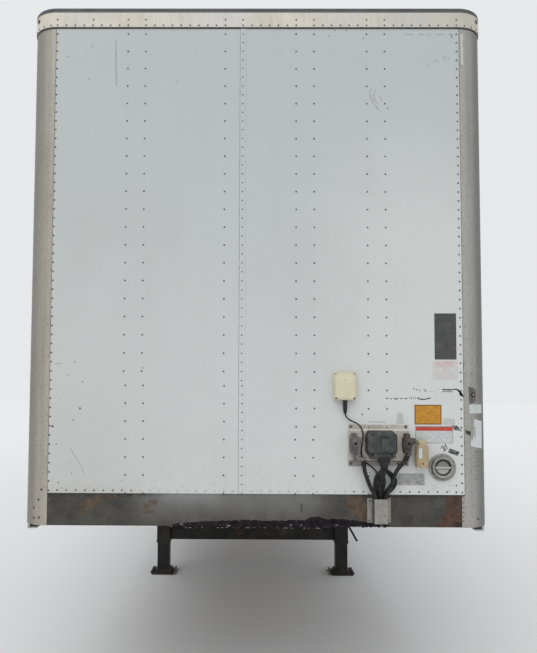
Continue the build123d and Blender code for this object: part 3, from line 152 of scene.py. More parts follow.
def spread(value, low, high, bottom=0.0, top=1.0):
    """A value stretched from low..high to bottom..top, eased at both ends."""
    limits = {"Value": value, "From Min": low, "From Max": high, "To Min": bottom, "To Max": top}
    return put(value, "MapRange", limits, interpolation_type="SMOOTHSTEP").outputs["Result"]


def tint(share, under, over):
    """A colour laid over another, by share."""
    under, over = ((*colour, 1) if isinstance(colour, tuple) else colour for colour in (under, over))
    return put(share, "Mix", {0: share, 6: under, 7: over}, data_type="RGBA").outputs[2]


def layered(ground, *layers):
    """A ground colour under layers, each a mask, how strong the layer is and its colour."""
    for mask, strength, colour in layers:
        ground = tint(times(mask, strength), ground, colour)
    return ground


def cloud(place, size, detail=4.0, rough=0.55, stretch=(1, 1, 1)):
    """Soft noise whose lumps are about as large as size, in metres, longer where stretch is above 1."""
    steps = [1 / (size * pull) for pull in stretch]
    pulled = put(place, "Mapping", {"Vector": place, "Scale": steps}).outputs[0]
    noise = {"Vector": pulled, "Scale": 1.0, "Detail": detail, "Roughness": rough}
    return put(place, "TexNoise", noise).outputs["Fac"]


def here(tree):
    """The place on the trailer, in metres."""
    return put(tree, "TexCoord").outputs["Object"]


def along(place, axis):
    """One coordinate of a place."""
    return put(place, "SeparateXYZ", {0: place}).outputs[axis]


def new_effect(name, inputs, outputs):
    """An empty node group; inputs hold (name, kind, value) and outputs (name, kind)."""
    group = bpy.data.node_groups.new(name, "ShaderNodeTree")
    for socket, kind, value in inputs:
        made = group.interface.new_socket(socket, in_out="INPUT", socket_type="NodeSocket" + kind)
        made.default_value = value
    for socket, kind in outputs:
        group.interface.new_socket(socket, in_out="OUTPUT", socket_type="NodeSocket" + kind)
    return group, group.nodes.new("NodeGroupInput").outputs, group.nodes.new("NodeGroupOutput").inputs


def sized(tree, size):
    """The place on the trailer inside an effect, counted in steps of its size."""
    steps = sums("DIVIDE", 1.0, size)
    return put(tree, "VectorMath", {0: here(tree), "Scale": steps}, operation="SCALE").outputs[0]


def use(tree, group, **inputs):
    """Places an effect in a material and returns its outputs."""
    values = {
        name.capitalize(): (*value, 1) if isinstance(value, tuple) else value
        for name, value in inputs.items()
    }
    return put(tree, "Group", values, node_tree=group).outputs


# Road film: thin dust in clouds, thicker in drips that run down from joints and rivets
road_film, film_in, film_out = new_effect(
    "road_film",
    [
        ("Colour", "Color", (0.5, 0.5, 0.5, 1)), ("Dust", "Color", (0.2, 0.17, 0.13, 1)),
        ("Amount", "Float", 0.4), ("Size", "Float", 0.5),
    ],
    [("Colour", "Color"), ("Mask", "Float")],
)
film_place = sized(road_film, film_in["Size"])
film_clouds = spread(cloud(film_place, 1.0, 8, 0.62), 0.38, 0.78)
film_drips = spread(cloud(film_place, 0.11, 5, 0.6, (1, 1, 14)), 0.5, 0.8)
film_specks = spread(cloud(film_place, 0.012, 2, 0.5), 0.66, 0.74)
film_mask = plus(plus(times(film_clouds, 0.6), times(film_drips, 0.35)), times(film_specks, 0.35))
film_mask = times(film_mask, film_in["Amount"])
road_film.links.new(film_mask, film_out["Mask"])
road_film.links.new(tint(film_mask, film_in["Colour"], film_in["Dust"]), film_out["Colour"])


def weathered(
    name, paint, dust, amount, size, roughness=0.5, metallic=0.0, grain=0.004, depth=0.0003, rust=None,
    coat=0.0, gloss=0.5,
):
    """A finish: paint, rust of (amount, size) if any, road film on top, a grain of that size and depth."""
    made = bpy.data.materials.new(name)
    made.use_nodes = True
    tree = made.node_tree
    shader = tree.nodes["Principled BSDF"].inputs
    for socket, value in (("Metallic", metallic), ("Coat Weight", coat), ("Specular IOR Level", gloss)):
        shader[socket].default_value = value
    place = here(tree)
    colour = paint(place)
    height = cloud(place, grain, 3)
    if rust:
        rusty = use(tree, rust_mix, colour=colour, amount=rust[0], size=rust[1])
        colour = rusty["Colour"]
        height = sums("ADD", height, rusty["Height"])
    film = use(tree, road_film, colour=colour, dust=dust, amount=amount, size=size)
    tree.links.new(film["Colour"], shader["Base Color"])
    # The film dulls what it covers
    dulled = spread(film["Mask"], 0.0, 0.6, roughness - 0.06, roughness + 0.16)
    tree.links.new(dulled, shader["Roughness"])
    relief = put(tree, "Bump", {"Height": height, "Distance": depth, "Strength": 1.0})
    tree.links.new(relief.outputs[0], shader["Normal"])
    return made


def two_tone(dark, light, lump, stretch=(1, 1, 1)):
    """A paint in two tones that run into each other in lumps of that size."""
    def lay(place):
        return tint(spread(cloud(place, lump, 6, 0.6, stretch), 0.3, 0.7), dark, light)
    return lay


def dress(material, *nodes):
    """Gives CAD nodes their material."""
    for name in nodes:
        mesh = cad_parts[name].data
        if not mesh.materials:
            mesh.materials.append(material)
        for place in range(len(mesh.materials)):
            mesh.materials[place] = material


def sheet_paint(place):
    """White enamel, cleaner towards the foot of the wall, with plywood lining on the inner faces."""
    side, depth, height = (along(place, axis) for axis in "XYZ")
    rinsed = times(spread(side, 0.1, 0.8), spread(height, 3.9, 2.6))
    dulled = times(spread(side, -0.3, -0.9), spread(height, 2.6, 1.6))
    clouds = spread(cloud(place, 0.8, 5, 0.6), 0.35, 0.72)
    specks = spread(cloud(place, 0.007, 2, 0.5), 0.69, 0.75)
    grit = spread(cloud(place, 0.011, 3, 0.6), 0.62, 0.70)
    thrown = times(spread(cloud(place, 0.25, 4), 0.4, 0.7), spread(side, -0.75, -1.1, 0.25, 1.0))
    splash = times(spread(height, wall_bottom + 0.25, wall_bottom), spread(cloud(place, 0.03, 6), 0.5, 0.75))
    muddy = times(spread(height, wall_bottom + 0.09, wall_bottom), spread(side, -0.55, -0.95))
    white = layered(
        tint(spread(height, 1.3, 4.1), (0.560, 0.575, 0.560), (0.445, 0.480, 0.470)),
        (rinsed, 0.55, (0.62, 0.635, 0.615)),
        (dulled, 0.50, (0.46, 0.475, 0.455)),
        (clouds, 0.22, (0.455, 0.475, 0.47)),
        (specks, 0.3, (0.24, 0.24, 0.23)),
        (times(grit, thrown), 0.42, (0.22, 0.20, 0.17)),
        (splash, 0.28, (0.36, 0.32, 0.26)),
        (muddy, 0.45, (0.45, 0.42, 0.35)),
    )
    plywood = tint(cloud(place, 0.02, 6, 0.65, (1, 1, 28)), (0.36, 0.24, 0.13), (0.60, 0.46, 0.29))
    past_skin = spread(sums("ABSOLUTE", side), half_width - 0.01, half_width - 0.03)
    past_nose = spread(depth, wall_y + 0.02, wall_y + 0.04)
    return tint(times(past_skin, past_nose), white, plywood)


white_sheet = weathered(
    "white_sheet", sheet_paint, dust=(0.36, 0.345, 0.30), amount=0.17, size=0.8, roughness=0.44, grain=0.35,
    depth=0.004,
)
dress(white_sheet, "front_wall", "side_wall_road", "side_wall_curb")


# Rivets of the front wall: columns over the posts, twice as close along the sheets' edges.
# Each post is in two lengths, so the rows start again where its lower length begins.
body = "van_body"
ahead = Vector((0, -1, 0))


def new_piece(name, shape, material, rides=body, smooth=False):
    """Turns a bmesh into a piece of the trailer that rides on a body."""
    bmesh.ops.recalc_face_normals(shape, faces=shape.faces[:])
    mesh = bpy.data.meshes.new(name)
    shape.to_mesh(mesh)
    shape.free()
    made = bpy.data.objects.new(name, mesh)
    scene.collection.objects.link(made)
    mesh.materials.append(material)
    if smooth:
        mesh.polygons.foreach_set("use_smooth", [True] * len(mesh.polygons))
        mesh.set_sharp_from_angle(angle=math.radians(40))
    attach(made, rides)
    return made


def turn(shape, profile, centre, axis, sides):
    """Turns a profile of (radius, distance along axis) about an axis through centre, in an open bmesh."""
    forward = Vector(axis).normalized()
    across = forward.orthogonal().normalized()
    third = forward.cross(across)
    rings = []
    for radius, reach in profile:
        hub = Vector(centre) + forward * reach
        if radius < 1e-6:
            rings.append([shape.verts.new(hub)])
            continue
        angles = [math.tau * side / sides for side in range(sides)]
        spokes = [across * math.cos(angle) + third * math.sin(angle) for angle in angles]
        rings.append([shape.verts.new(hub + spoke * radius) for spoke in spokes])
    for near, far in zip(rings, rings[1:]):
        for side in range(sides):
            after = (side + 1) % sides
            if len(near) == 1:
                shape.faces.new((near[0], far[side], far[after]))
            elif len(far) == 1:
                shape.faces.new((near[side], far[0], near[after]))
            else:
                shape.faces.new((near[side], far[side], far[after], near[after]))


def dome(radius):
    """The profile of a round rivet head, sunk a little into the sheet."""
    edge = [(0, -0.0006), (radius, -0.0006), (radius * 0.93, radius * 0.24)]
    return [*edge, (radius * 0.55, radius * 0.48), (0, radius * 0.56)]


def rivets(name, spots, radius, material, sides=8):
    """Rivet heads as one piece; each spot is a centre and its outward direction."""
    shape = bmesh.new()
    for centre, outward in spots:
        turn(shape, dome(radius), centre, outward, sides)
    return new_piece(name, shape, material, smooth=True)


def facing(y, spots):
    """Spots in (x, z) on a face at y that looks ahead, each with that direction."""
    return [(Vector((x, y, z)), ahead) for x, z in spots]


dark_heads = weathered(
    "dark_rivets", two_tone((0.045, 0.045, 0.044), (0.15, 0.15, 0.147), 0.02),
    dust=(0.14, 0.13, 0.12), amount=0.3, size=0.1, metallic=0.2,
)
pale_heads = weathered(
    "pale_rivets", two_tone((0.36, 0.37, 0.365), (0.48, 0.495, 0.49), 0.02),
    dust=(0.2, 0.19, 0.17), amount=0.3, size=0.1,
)

rivet_radius = 0.0053
top_row = 3.968
row_pitch = 0.1013
low_row = wall_bottom + 0.001
low_pitch = 0.0985
seam_column = -0.0805
edge_columns = (-1.1405, 1.133)
# Each column over a post: its place, the rivets down from the top and the rivets up from the sill,
# then how far the lower length stands aside at its foot and how much less at each row up
post_columns = (
    (-0.7357, 20, 7, 0.0172, 0.0012), (-0.6353, 20, 7, 0.0159, 0.0012), (-0.181, 20, 7, 0.004, 0.0),
    (0.2223, 23, 4, -0.005, 0.0), (0.3239, 23, 4, -0.008, 0.0), (0.6225, 22, 2, 0.0, 0.0),
    (0.7245, 22, 1, 0.0, 0.0),
)
# The seam's lower rows stand aside too; then its rows above and below, and the rows along the edges
seam_aside, seam_upper, seam_lower, edge_rows = 0.003, 40, 13, 52
wall_spots = []
for column, from_top, from_sill, aside, lean in post_columns:
    wall_spots += [(column, top_row - row_pitch * row) for row in range(from_top)]
    wall_spots += [(column + aside - lean * row, low_row + low_pitch * row) for row in range(from_sill)]
wall_spots += [(seam_column, top_row - row_pitch / 2 * row) for row in range(seam_upper)]
wall_spots += [(seam_column + seam_aside, low_row + low_pitch / 2 * row) for row in range(seam_lower)]
for column in edge_columns:
    wall_spots += [(column, top_row - row_pitch / 2 * row) for row in range(edge_rows)]
# The row along the foot: clean heads hardly show in the middle, where nothing rubs them dark
foot_row = wall_bottom + 0.015
foot_left, foot_pitch, foot_count = -1.093, 0.051, 44
foot_spots = [(foot_left + foot_pitch * number, foot_row) for number in range(foot_count)]
clean_from, clean_to = -0.66, 0.52
dark_foot = [spot for spot in foot_spots if not clean_from < spot[0] < clean_to]
pale_foot = [spot for spot in foot_spots if clean_from < spot[0] < clean_to]
rivets(
    "front_wall_rivets", facing(wall_y, wall_spots + dark_foot), radius=rivet_radius, material=dark_heads,
)
rivets(
    "front_foot_rivets", facing(wall_y, pale_foot), radius=rivet_radius, material=pale_heads,
)


# Seam of the front sheets: one sheet laps the next, and a fine grey line along its edge is a painted shadow.
# A black strip along the sill is a painted shadow under the sheets' foot, and the beads of sealant down the
# corner posts have worn brown.
wall_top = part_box("front_wall")[1].z
sill_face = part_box("front_sill")[0].y
corner_radius = 0.148
turn_edge = half_width - corner_radius


def slabs(name, boxes, material, rides=body):
    """Flat strips and blocks as one piece; each box is its low and high corner."""
    shape = bmesh.new()
    for low, high in boxes:
        corners = [
            [shape.verts.new((x, y, z)) for z in (low[2], high[2])]
            for x in (low[0], high[0]) for y in (low[1], high[1])
        ]
        (a, b), (c, d), (e, f), (g, h) = corners
        for ring in ((a, b, d, c), (e, g, h, f), (a, e, f, b), (c, d, h, g), (a, c, g, e), (b, f, h, d)):
            shape.faces.new(ring)
    return new_piece(name, shape, material, rides)


# Dark sealant, also used for the black strip that is a painted shadow along the sill
sealant_and_shade = weathered(
    "dark_sealant_and_shade", two_tone((0.012, 0.013, 0.014), (0.055, 0.055, 0.053), 0.02),
    dust=(0.09, 0.08, 0.07), amount=0.4, size=0.1, roughness=0.75, grain=0.006, depth=0.0008,
)
worn_sealant = weathered(
    "worn_sealant", two_tone((0.085, 0.075, 0.062), (0.26, 0.24, 0.21), 0.05),
    dust=(0.12, 0.10, 0.08), amount=0.3, size=0.1, roughness=0.75,
)
# Grey for the painted shadow line along the lap's edge
lap_shadow_grey = weathered(
    "lap_shadow_grey", two_tone((0.17, 0.165, 0.155), (0.40, 0.40, 0.385), 0.03),
    dust=(0.12, 0.10, 0.08), amount=0.3, size=0.1, roughness=0.75,
)
lap_left, lap_width, sheet_gauge = -0.0945, 0.030, 0.0016
sheet_lap = ((lap_left, wall_y - sheet_gauge, wall_bottom), (lap_left + lap_width, wall_y, wall_top))
slabs("front_sheet_lap", [sheet_lap], white_sheet)
# Strips along the joints: how far each stands proud and how wide it is; all sink the same small depth into
# the metal. The corner ones are beads of sealant, the sill's is a painted shadow and the lap's a painted
# shadow line.
strip_sunk = 0.001
sill_shadow_proud, sill_shadow_height = 0.0015, 0.007
corner_proud, corner_bead = 0.0012, 0.0026
lap_shadow_proud, lap_shadow_width = 0.0006, 0.0030
# A black strip along the sill is a painted shadow under the sheets' foot
sill_shadow_strips = [
    ((left, sill_face - sill_shadow_proud, wall_bottom - sill_shadow_height), (right, sill_face + strip_sunk, wall_bottom))
    for left, right in ((-turn_edge, -0.60), (0.50, turn_edge))
]
slabs("front_sill_shadow_strip", sill_shadow_strips, sealant_and_shade)
corner_lines = [
    (
        (x - corner_bead / 2, wall_y - corner_proud, wall_bottom),
        (x + corner_bead / 2, wall_y + strip_sunk, wall_top),
    )
    for x in (-turn_edge, turn_edge)
]
slabs("front_corner_joints", corner_lines, worn_sealant)
# Painted shadow: a fine grey line along the lap sheet's left edge
lap_shadow_line = ((lap_left - lap_shadow_width, wall_y - lap_shadow_proud, wall_bottom), (lap_left, wall_y, wall_top))
slabs("front_lap_shadow", [lap_shadow_line], lap_shadow_grey)


# Corner posts: thick aluminium extrusions bent round the corners, riveted to the sheets and never painted.
# Weather has pitted and streaked them: the curb side one has gone warm and dusty, the road side one grey.
def box_mask(place, low, high, soft, ragged=0.0):
    """1 inside a box in x and z, 0 outside; soft is its edge's width, ragged how far noise moves the edge."""
    if ragged:
        noise = {"Vector": place, "Scale": 1 / (6 * ragged), "Detail": 7.0, "Roughness": 0.66}
        jitter = put(place, "TexNoise", noise).outputs["Color"]
        moved = put(place, "VectorMath", {0: jitter, 1: (0.5, 0.5, 0.5)}, operation="SUBTRACT").outputs[0]
        scaled = put(place, "VectorMath", {0: moved, "Scale": ragged * 4}, operation="SCALE").outputs[0]
        place = put(place, "VectorMath", {0: place, 1: scaled}).outputs[0]
    return times(*(
        spread(along(place, axis), edge - ease, edge + ease)
        for axis, start, end in (("X", low[0], high[0]), ("Z", low[1], high[1]))
        for edge, ease in ((start, soft), (end, -soft))
    ))


def post_paint(place):
    """Mill aluminium with a painted highlight where it meets the wall, painted shade towards the side and a
    painted highlight streak high on the road side post, pitted and scraped.
    """
    across = along(place, "X")
    reach = sums("ABSOLUTE", across)
    runs = spread(cloud(place, 0.03, 4, 0.6, (1, 1, 30)), 0.3, 0.7)
    warm = tint(runs, (0.335, 0.31, 0.265), (0.385, 0.36, 0.31))
    cool = tint(runs, (0.31, 0.31, 0.293), (0.37, 0.37, 0.35))
    # Painted highlight where the post meets the wall, and painted shade where it turns towards the side
    inner = spread(reach, turn_edge + 0.045, turn_edge + 0.012)
    outer = times(spread(reach, turn_edge + 0.04, half_width - 0.02), spread(across, -0.2, 0.2, 0.62, 0.95))
    pits = spread(cloud(place, 0.008, 4, 0.7, (2.0, 1, 1)), 0.52, 0.70)
    knocked = times(spread(along(place, "Z"), 2.1, 1.5, 0.35, 1.0), spread(across, -0.2, 0.2, 0.4, 1.0))
    scrapes = spread(cloud(place, 0.006, 5, 0.7, (4.0, 1, 1)), 0.57, 0.66)
    # Painted highlight: a pale streak high on the road side post
    highlight_streak = box_mask(place, (1.160, 3.79), (1.170, 3.97), 0.004, ragged=0.004)
    return layered(
        tint(spread(across, -0.2, 0.2), warm, cool),
        (inner, 0.5, (0.455, 0.43, 0.375)),
        (outer, 1.0, (0.120, 0.120, 0.112)),
        (pits, 0.55, (0.13, 0.12, 0.105)),
        (times(scrapes, knocked), 0.6, (0.085, 0.08, 0.07)),
        (highlight_streak, 0.6, (0.72, 0.71, 0.68)),
    )


post_metal = weathered(
    "corner_post_metal", post_paint, dust=(0.15, 0.125, 0.09), amount=0.35, size=0.4, roughness=0.5,
    metallic=0.4, grain=0.006, depth=0.0006,
)
dress(post_metal, "corner_post_road", "corner_post_curb")


def on_skin(x, z, lift=0.0):
    """A point lift proud of the body's face, flat or round the corner, and its outward direction."""
    past = max(0.0, abs(x) - turn_edge)
    angle = math.asin(min(1.0, past / corner_radius))
    outward = Vector((math.copysign(math.sin(angle), x), -math.cos(angle), 0))
    hub = Vector((math.copysign(turn_edge, x) if past else x, wall_y + corner_radius, 0))
    return hub + outward * (corner_radius + lift) + Vector((0, 0, z)), outward


fastener = weathered(
    "fastener_steel", two_tone((0.045, 0.043, 0.04), (0.17, 0.165, 0.155), 0.008),
    dust=(0.08, 0.06, 0.045), amount=0.5, size=0.03, metallic=0.5,
)


def plug(radius, start, end):
    """The profile of a plain cylinder, between two distances along its axis."""
    return [(0, start), (radius, start), (radius, end), (0, end)]


def screws(name, spots, width):
    """Hex screws with washer faces; each spot is the seat's centre and its outward direction."""
    shape = bmesh.new()
    hexagon = [(0, 0.1), (0.5, 0.1), (0.5, 0.42), (0.42, 0.5), (0, 0.5)]
    for seat, outward in spots:
        turn(shape, plug(width * 0.8, -0.0005, width * 0.12), seat, outward, 14)
        turn(shape, [(width * radius, width * reach) for radius, reach in hexagon], seat, outward, 6)
    return new_piece(name, shape, fastener)


# Below the sheet the road side post's flange shows, riveted over the sill's end
sill_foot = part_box("front_sill")[0].z
flange_left, flange_gauge = 1.132, 0.0012
flange_face = sill_face - flange_gauge
foot_flange = ((flange_left, flange_face, sill_foot), (turn_edge, flange_face + 0.002, wall_bottom - 0.001))
slabs("post_foot_flange", [foot_flange], post_metal)
flange_heads = [(flange_left + 0.006, z) for z in (1.360, 1.329, 1.303, 1.277, 1.253, 1.230)]
rivets(
    "post_flange_rivets", facing(flange_face, flange_heads), radius=0.0042, material=dark_heads,
)

foot_screws = (
    (-1.226, 1.287), (-1.226, 1.231), (-1.193, 1.236), (-1.181, 1.389), (-1.197, 1.334), (1.226, 1.238),
)
screws("post_foot_screws", [on_skin(x, z) for x, z in foot_screws], width=0.008)


# Top front rail: a cream painted extrusion bent round both corners, yellowed and stained.
# One row of rivets runs along its foot, and a few sit higher where the posts end behind it.
def cream_paint(place):
    """Cream enamel, stained in clouds, greyer towards the road side."""
    stain = spread(cloud(place, 0.4, 6), 0.35, 0.65)
    aged = spread(along(place, "X"), 0.1, 1.1)
    grain = spread(cloud(place, 0.01, 4, 0.6, (1, 1, 9)), 0.45, 0.7)
    return layered(
        tint(stain, (0.60, 0.585, 0.55), (0.66, 0.615, 0.50)),
        (aged, 0.6, (0.46, 0.44, 0.40)),
        (grain, 0.3, (0.42, 0.39, 0.32)),
    )


cream_rail = weathered(
    "cream_rail", cream_paint, dust=(0.30, 0.26, 0.19), amount=0.5, size=0.3, roughness=0.5, grain=0.08,
    depth=0.0012,
)
dress(cream_rail, "top_front_rail")

rail_low, rail_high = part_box("top_front_rail")
rail_lift = wall_y - rail_low.y
rail_row = rail_low.z + 0.010
rail_upper_row = rail_low.z + 0.0425
rail_stations = sorted([column[0] for column in post_columns] + [seam_column, *edge_columns])
rail_spots = []
for near, far in zip(rail_stations, rail_stations[1:]):
    gaps = 1 if far - near < 0.12 else round((far - near) / (row_pitch / 2))
    rail_spots += [on_skin(near + (far - near) * gap / gaps, rail_row, rail_lift) for gap in range(gaps)]
rail_spots.append(on_skin(rail_stations[-1], rail_row, rail_lift))
for reach in (1.179, 1.222, 1.256, 1.280):
    rail_spots += [on_skin(side * reach, rail_row, rail_lift) for side in (-1, 1)]
rail_spots += [on_skin(x, rail_upper_row, rail_lift) for x in rail_stations + [-0.935]]
rivets("rail_rivets", rail_spots, radius=rivet_radius, material=dark_heads)


def loft(shape, rings, looped=False):
    """Joins rings of points with faces; the ends are closed, or meet where looped."""
    made = [[shape.verts.new(point) for point in ring] for ring in rings]
    for near, far in zip(made, made[1:] + made[:1] if looped else made[1:]):
        for corner in range(len(near)):
            after = (corner + 1) % len(near)
            shape.faces.new((near[corner], far[corner], far[after], near[after]))
    if not looped:
        shape.faces.new(made[0])
        shape.faces.new(made[-1])


gasket_proud, gasket_height, side_run = 0.004, 0.009, 0.06
bend_steps = 12
bend = [corner_radius * math.sin(math.pi / 2 * step / bend_steps) for step in range(bend_steps + 1)]
gasket_path = [on_skin(-turn_edge - reach, 0) for reach in reversed(bend)]
gasket_path += [on_skin(turn_edge + reach, 0) for reach in bend]
# The gasket ends a little way down both sides
(first, first_out), (last, last_out) = gasket_path[0], gasket_path[-1]
down_side = Vector((0, side_run, 0))
gasket_path = [(first + down_side, first_out), *gasket_path, (last + down_side, last_out)]
gasket_section = [
    (proud, Vector((0, 0, rail_low.z - gasket_height * down)))
    for proud, down in ((0, 1), (gasket_proud, 0.85), (gasket_proud, 0.15), (0, 0))
]
gasket = bmesh.new()
loft(gasket, [
    [spot + outward * proud + height for proud, height in gasket_section] for spot, outward in gasket_path
])
new_piece("rail_gasket", gasket, sealant_and_shade)


# Roof: one thin aluminium sheet stretched over the bows, its edge rolled down into a dark grey cap.
# The sheet sinks a little between the bows, and the cap's lower lip has worn lighter.
def facing_up(place):
    """How far a face looks up, 1 where it is level."""
    return along(put(place, "NewGeometry").outputs["Normal"], "Z")


def roof_paint(place):
    """Pale sheet on top and a dark cap round its edge, lighter along the lower lip."""
    cap = two_tone((0.026, 0.029, 0.031), (0.062, 0.066, 0.067), 0.12)(place)
    lip = spread(along(place, "Z"), rail_high.z + 0.012, rail_high.z + 0.006)
    cap = layered(cap, (lip, 0.6, (0.125, 0.128, 0.125)))
    flat = two_tone((0.38, 0.39, 0.39), (0.46, 0.46, 0.45), 0.8)(place)
    return tint(spread(facing_up(place), 0.93, 0.99), cap, flat)


roof_sheet = weathered(
    "roof_sheet", roof_paint, dust=(0.16, 0.14, 0.12), amount=0.28, size=0.9, roughness=0.6, grain=0.5,
    depth=0.006,
)
dress(roof_sheet, "roof")


# Front sill: a folded steel channel that takes the knocks of the tractor, grey paint gone to rust in places.
# Its lower lip is torn and crushed over two fifths of its length.
rust_mix, rust_in, rust_out = new_effect(
    "rust",
    [("Colour", "Color", (0.1, 0.1, 0.1, 1)), ("Amount", "Float", 0.5), ("Size", "Float", 0.1)],
    [("Colour", "Color"), ("Height", "Float")],
)
rust_place = sized(rust_mix, rust_in["Size"])
rust_floor = sums("SUBTRACT", 0.78, rust_in["Amount"])
rust_edge = sums("ADD", rust_floor, 0.12)
rust_mask = spread(cloud(rust_place, 1.0, 9, 0.68), rust_floor, rust_edge)
rust_lumps = spread(cloud(rust_place, 0.3, 6, 0.7), 0.35, 0.65)
rust_shade = tint(rust_lumps, (0.020, 0.012, 0.008), (0.080, 0.046, 0.026))
rust_mix.links.new(tint(rust_mask, rust_in["Colour"], rust_shade), rust_out["Colour"])
rust_mix.links.new(times(rust_mask, cloud(rust_place, 0.08, 4, 0.7)), rust_out["Height"])

# Rust stains on the sill: left, low, right, high, and how strong
sill_stains = (
    (-0.960, 1.256, -0.926, 1.330, 0.8), (-0.932, 1.292, -0.868, 1.343, 0.8),
    (-0.885, 1.320, -0.842, 1.360, 0.75), (-0.852, 1.338, -0.768, 1.361, 0.7),
    (-0.620, 1.262, -0.580, 1.318, 0.75), (-0.604, 1.262, -0.548, 1.284, 0.75),
    (-0.590, 1.312, -0.540, 1.341, 0.75), (0.503, 1.286, 0.593, 1.372, 0.8),
    (0.538, 1.246, 0.616, 1.330, 0.8), (0.568, 1.222, 0.616, 1.262, 0.75), (1.045, 1.190, 1.140, 1.372, 0.95),
    (1.014, 1.190, 1.062, 1.262, 0.9), (0.980, 1.190, 1.032, 1.230, 0.85),
)


def sill_paint(place):
    """Dark grey paint, rubbed bright in the middle, with rust stains, a painted shadow under the sheets' edge
    towards both ends, a black corner and a dent painted dark as its shade.
    """
    side, height = along(place, "X"), along(place, "Z")
    worn = box_mask(place, (-0.66, 1.265), (0.36, 1.44), 0.11)
    bright = box_mask(place, (-0.52, 1.335), (-0.20, 1.44), 0.05)
    grain = spread(cloud(place, 0.007, 3, 0.6), 0.5, 0.7)
    brown = two_tone((0.050, 0.033, 0.020), (0.125, 0.080, 0.046), 0.03)(place)
    red = two_tone((0.040, 0.018, 0.012), (0.105, 0.050, 0.030), 0.03)(place)
    brown = tint(spread(side, 0.8, 0.9), brown, red)
    broken = spread(cloud(place, 0.022, 7, 0.7), 0.32, 0.50)
    stains = [
        (times(box_mask(place, (left, low), (right, high), 0.006, ragged=0.014), broken), strength, brown)
        for left, low, right, high, strength in sill_stains
    ]
    # Painted shadow: a ragged dark band just under the sheets' edge, towards both ends
    sheet_edge_shadow = times(
        spread(height, wall_bottom - 0.030, wall_bottom - 0.004), spread(sums("ABSOLUTE", side), 0.42, 0.70),
        spread(cloud(place, 0.022, 6, 0.7), 0.42, 0.58),
    )
    corner = box_mask(place, (1.094, 1.19), (1.140, 1.221), 0.004, ragged=0.010)
    # The dent is painted dark as its shade
    dent_shade = box_mask(place, (0.247, 1.277), (0.258, 1.320), 0.003)
    return layered(
        two_tone((0.033, 0.032, 0.028), (0.066, 0.062, 0.053), 0.08)(place),
        (worn, 0.50, (0.25, 0.25, 0.24)),
        (bright, 0.40, (0.34, 0.35, 0.35)),
        (grain, 0.35, (0.11, 0.105, 0.095)),
        *stains,
        (plus(sheet_edge_shadow, corner), 0.85, (0.010, 0.009, 0.009)),
        (dent_shade, 0.7, (0.02, 0.02, 0.02)),
    )


sill_steel = weathered(
    "sill_steel", sill_paint, dust=(0.11, 0.095, 0.075), amount=0.35, size=0.15, roughness=0.6, metallic=0.1,
    grain=0.012, depth=0.0008, rust=(0.15, 0.12), gloss=0.35,
)
dress(sill_steel, "front_sill")

# The torn lip: its upper edge at places along the sill, as (x, z)
lip_edge = (
    (-0.458, 1.207), (-0.305, 1.222), (-0.17, 1.226), (-0.031, 1.231), (0.10, 1.226), (0.161, 1.229),
    (0.27, 1.231), (0.325, 1.251), (0.345, 1.250), (0.385, 1.236), (0.462, 1.238), (0.577, 1.228),
    (0.654, 1.212), (0.736, 1.203),
)
# The lip hangs a little lower up to hang_until, where the flap begins
hang_until, hang = 0.34, 0.009
dice = random.Random(4)
torn_lip = bmesh.new()
lip_rings = []
lip_step = 0.011
x = lip_edge[0][0]
while x <= lip_edge[-1][0]:
    left, right = next((a, b) for a, b in zip(lip_edge, lip_edge[1:]) if x <= b[0] or b is lip_edge[-1])
    share = (x - left[0]) / (right[0] - left[0])
    top = left[1] + (right[1] - left[1]) * share + dice.uniform(-0.003, 0.003)
    foot = sill_foot + dice.uniform(-0.004, 0.006) - (hang if x < hang_until else 0)
    fold = dice.uniform(0.3, 0.7)
    lip_rings.append([
        Vector((x, sill_face + 0.001, top)),
        Vector((x, sill_face - 0.0015, top - 0.002)),
        Vector((x, sill_face - dice.uniform(0.003, 0.009), foot + (top - foot) * fold)),
        Vector((x, sill_face - dice.uniform(0.001, 0.006), foot)),
        Vector((x, sill_face + 0.004, foot)),
    ])
    x += lip_step
loft(torn_lip, lip_rings)
# A flap of the lip hangs below the sill
flap_outline = (
    (0.334, 1.212), (0.372, 1.208), (0.425, 1.210), (0.437, 1.193),
    (0.408, 1.184), (0.386, 1.170), (0.366, 1.184), (0.342, 1.190),
)
flap_front, flap_gauge = sill_face - 0.004, 0.0025
loft(torn_lip, [[Vector((x, flap_front - out, z)) for x, z in flap_outline] for out in (0, flap_gauge)])


def band(value, start, full, fade, end):
    """1 between full and fade, eased down to 0 at start and at end."""
    return times(spread(value, start, full), spread(value, end, fade))


def lip_paint(place):
    """Blackened steel with a row of bright chips where it was torn, partly a painted highlight along the lip.
    """
    torn = two_tone((0.005, 0.0044, 0.005), (0.020, 0.0172, 0.019), 0.02)(place)
    # Bright chips along the lip, partly a painted highlight on its edge
    chips_and_highlight = spread(cloud(place, 0.011, 4, 0.6, (2.5, 1, 1)), 0.60, 0.66)
    low = band(along(place, "Z"), 1.193, 1.197, 1.205, 1.209)
    return layered(torn, (times(chips_and_highlight, low), 0.9, (0.30, 0.30, 0.31)))


torn_steel = weathered(
    "torn_steel", lip_paint, dust=(0.05, 0.04, 0.036), amount=0.12, size=0.05, roughness=0.75, grain=0.008,
    depth=0.001, gloss=0.08,
)
new_piece("sill_torn_lip", torn_lip, torn_steel)

sill_rivets = [(-1.139, z) for z in (1.238, 1.270, 1.302, 1.335)]
sill_rivets += [(-1.045, 1.265), (-0.31, 1.262), (-0.387, 1.274), (-0.778, 1.229)]
rivets("sill_rivets", facing(sill_face, sill_rivets), radius=0.0045, material=dark_heads)


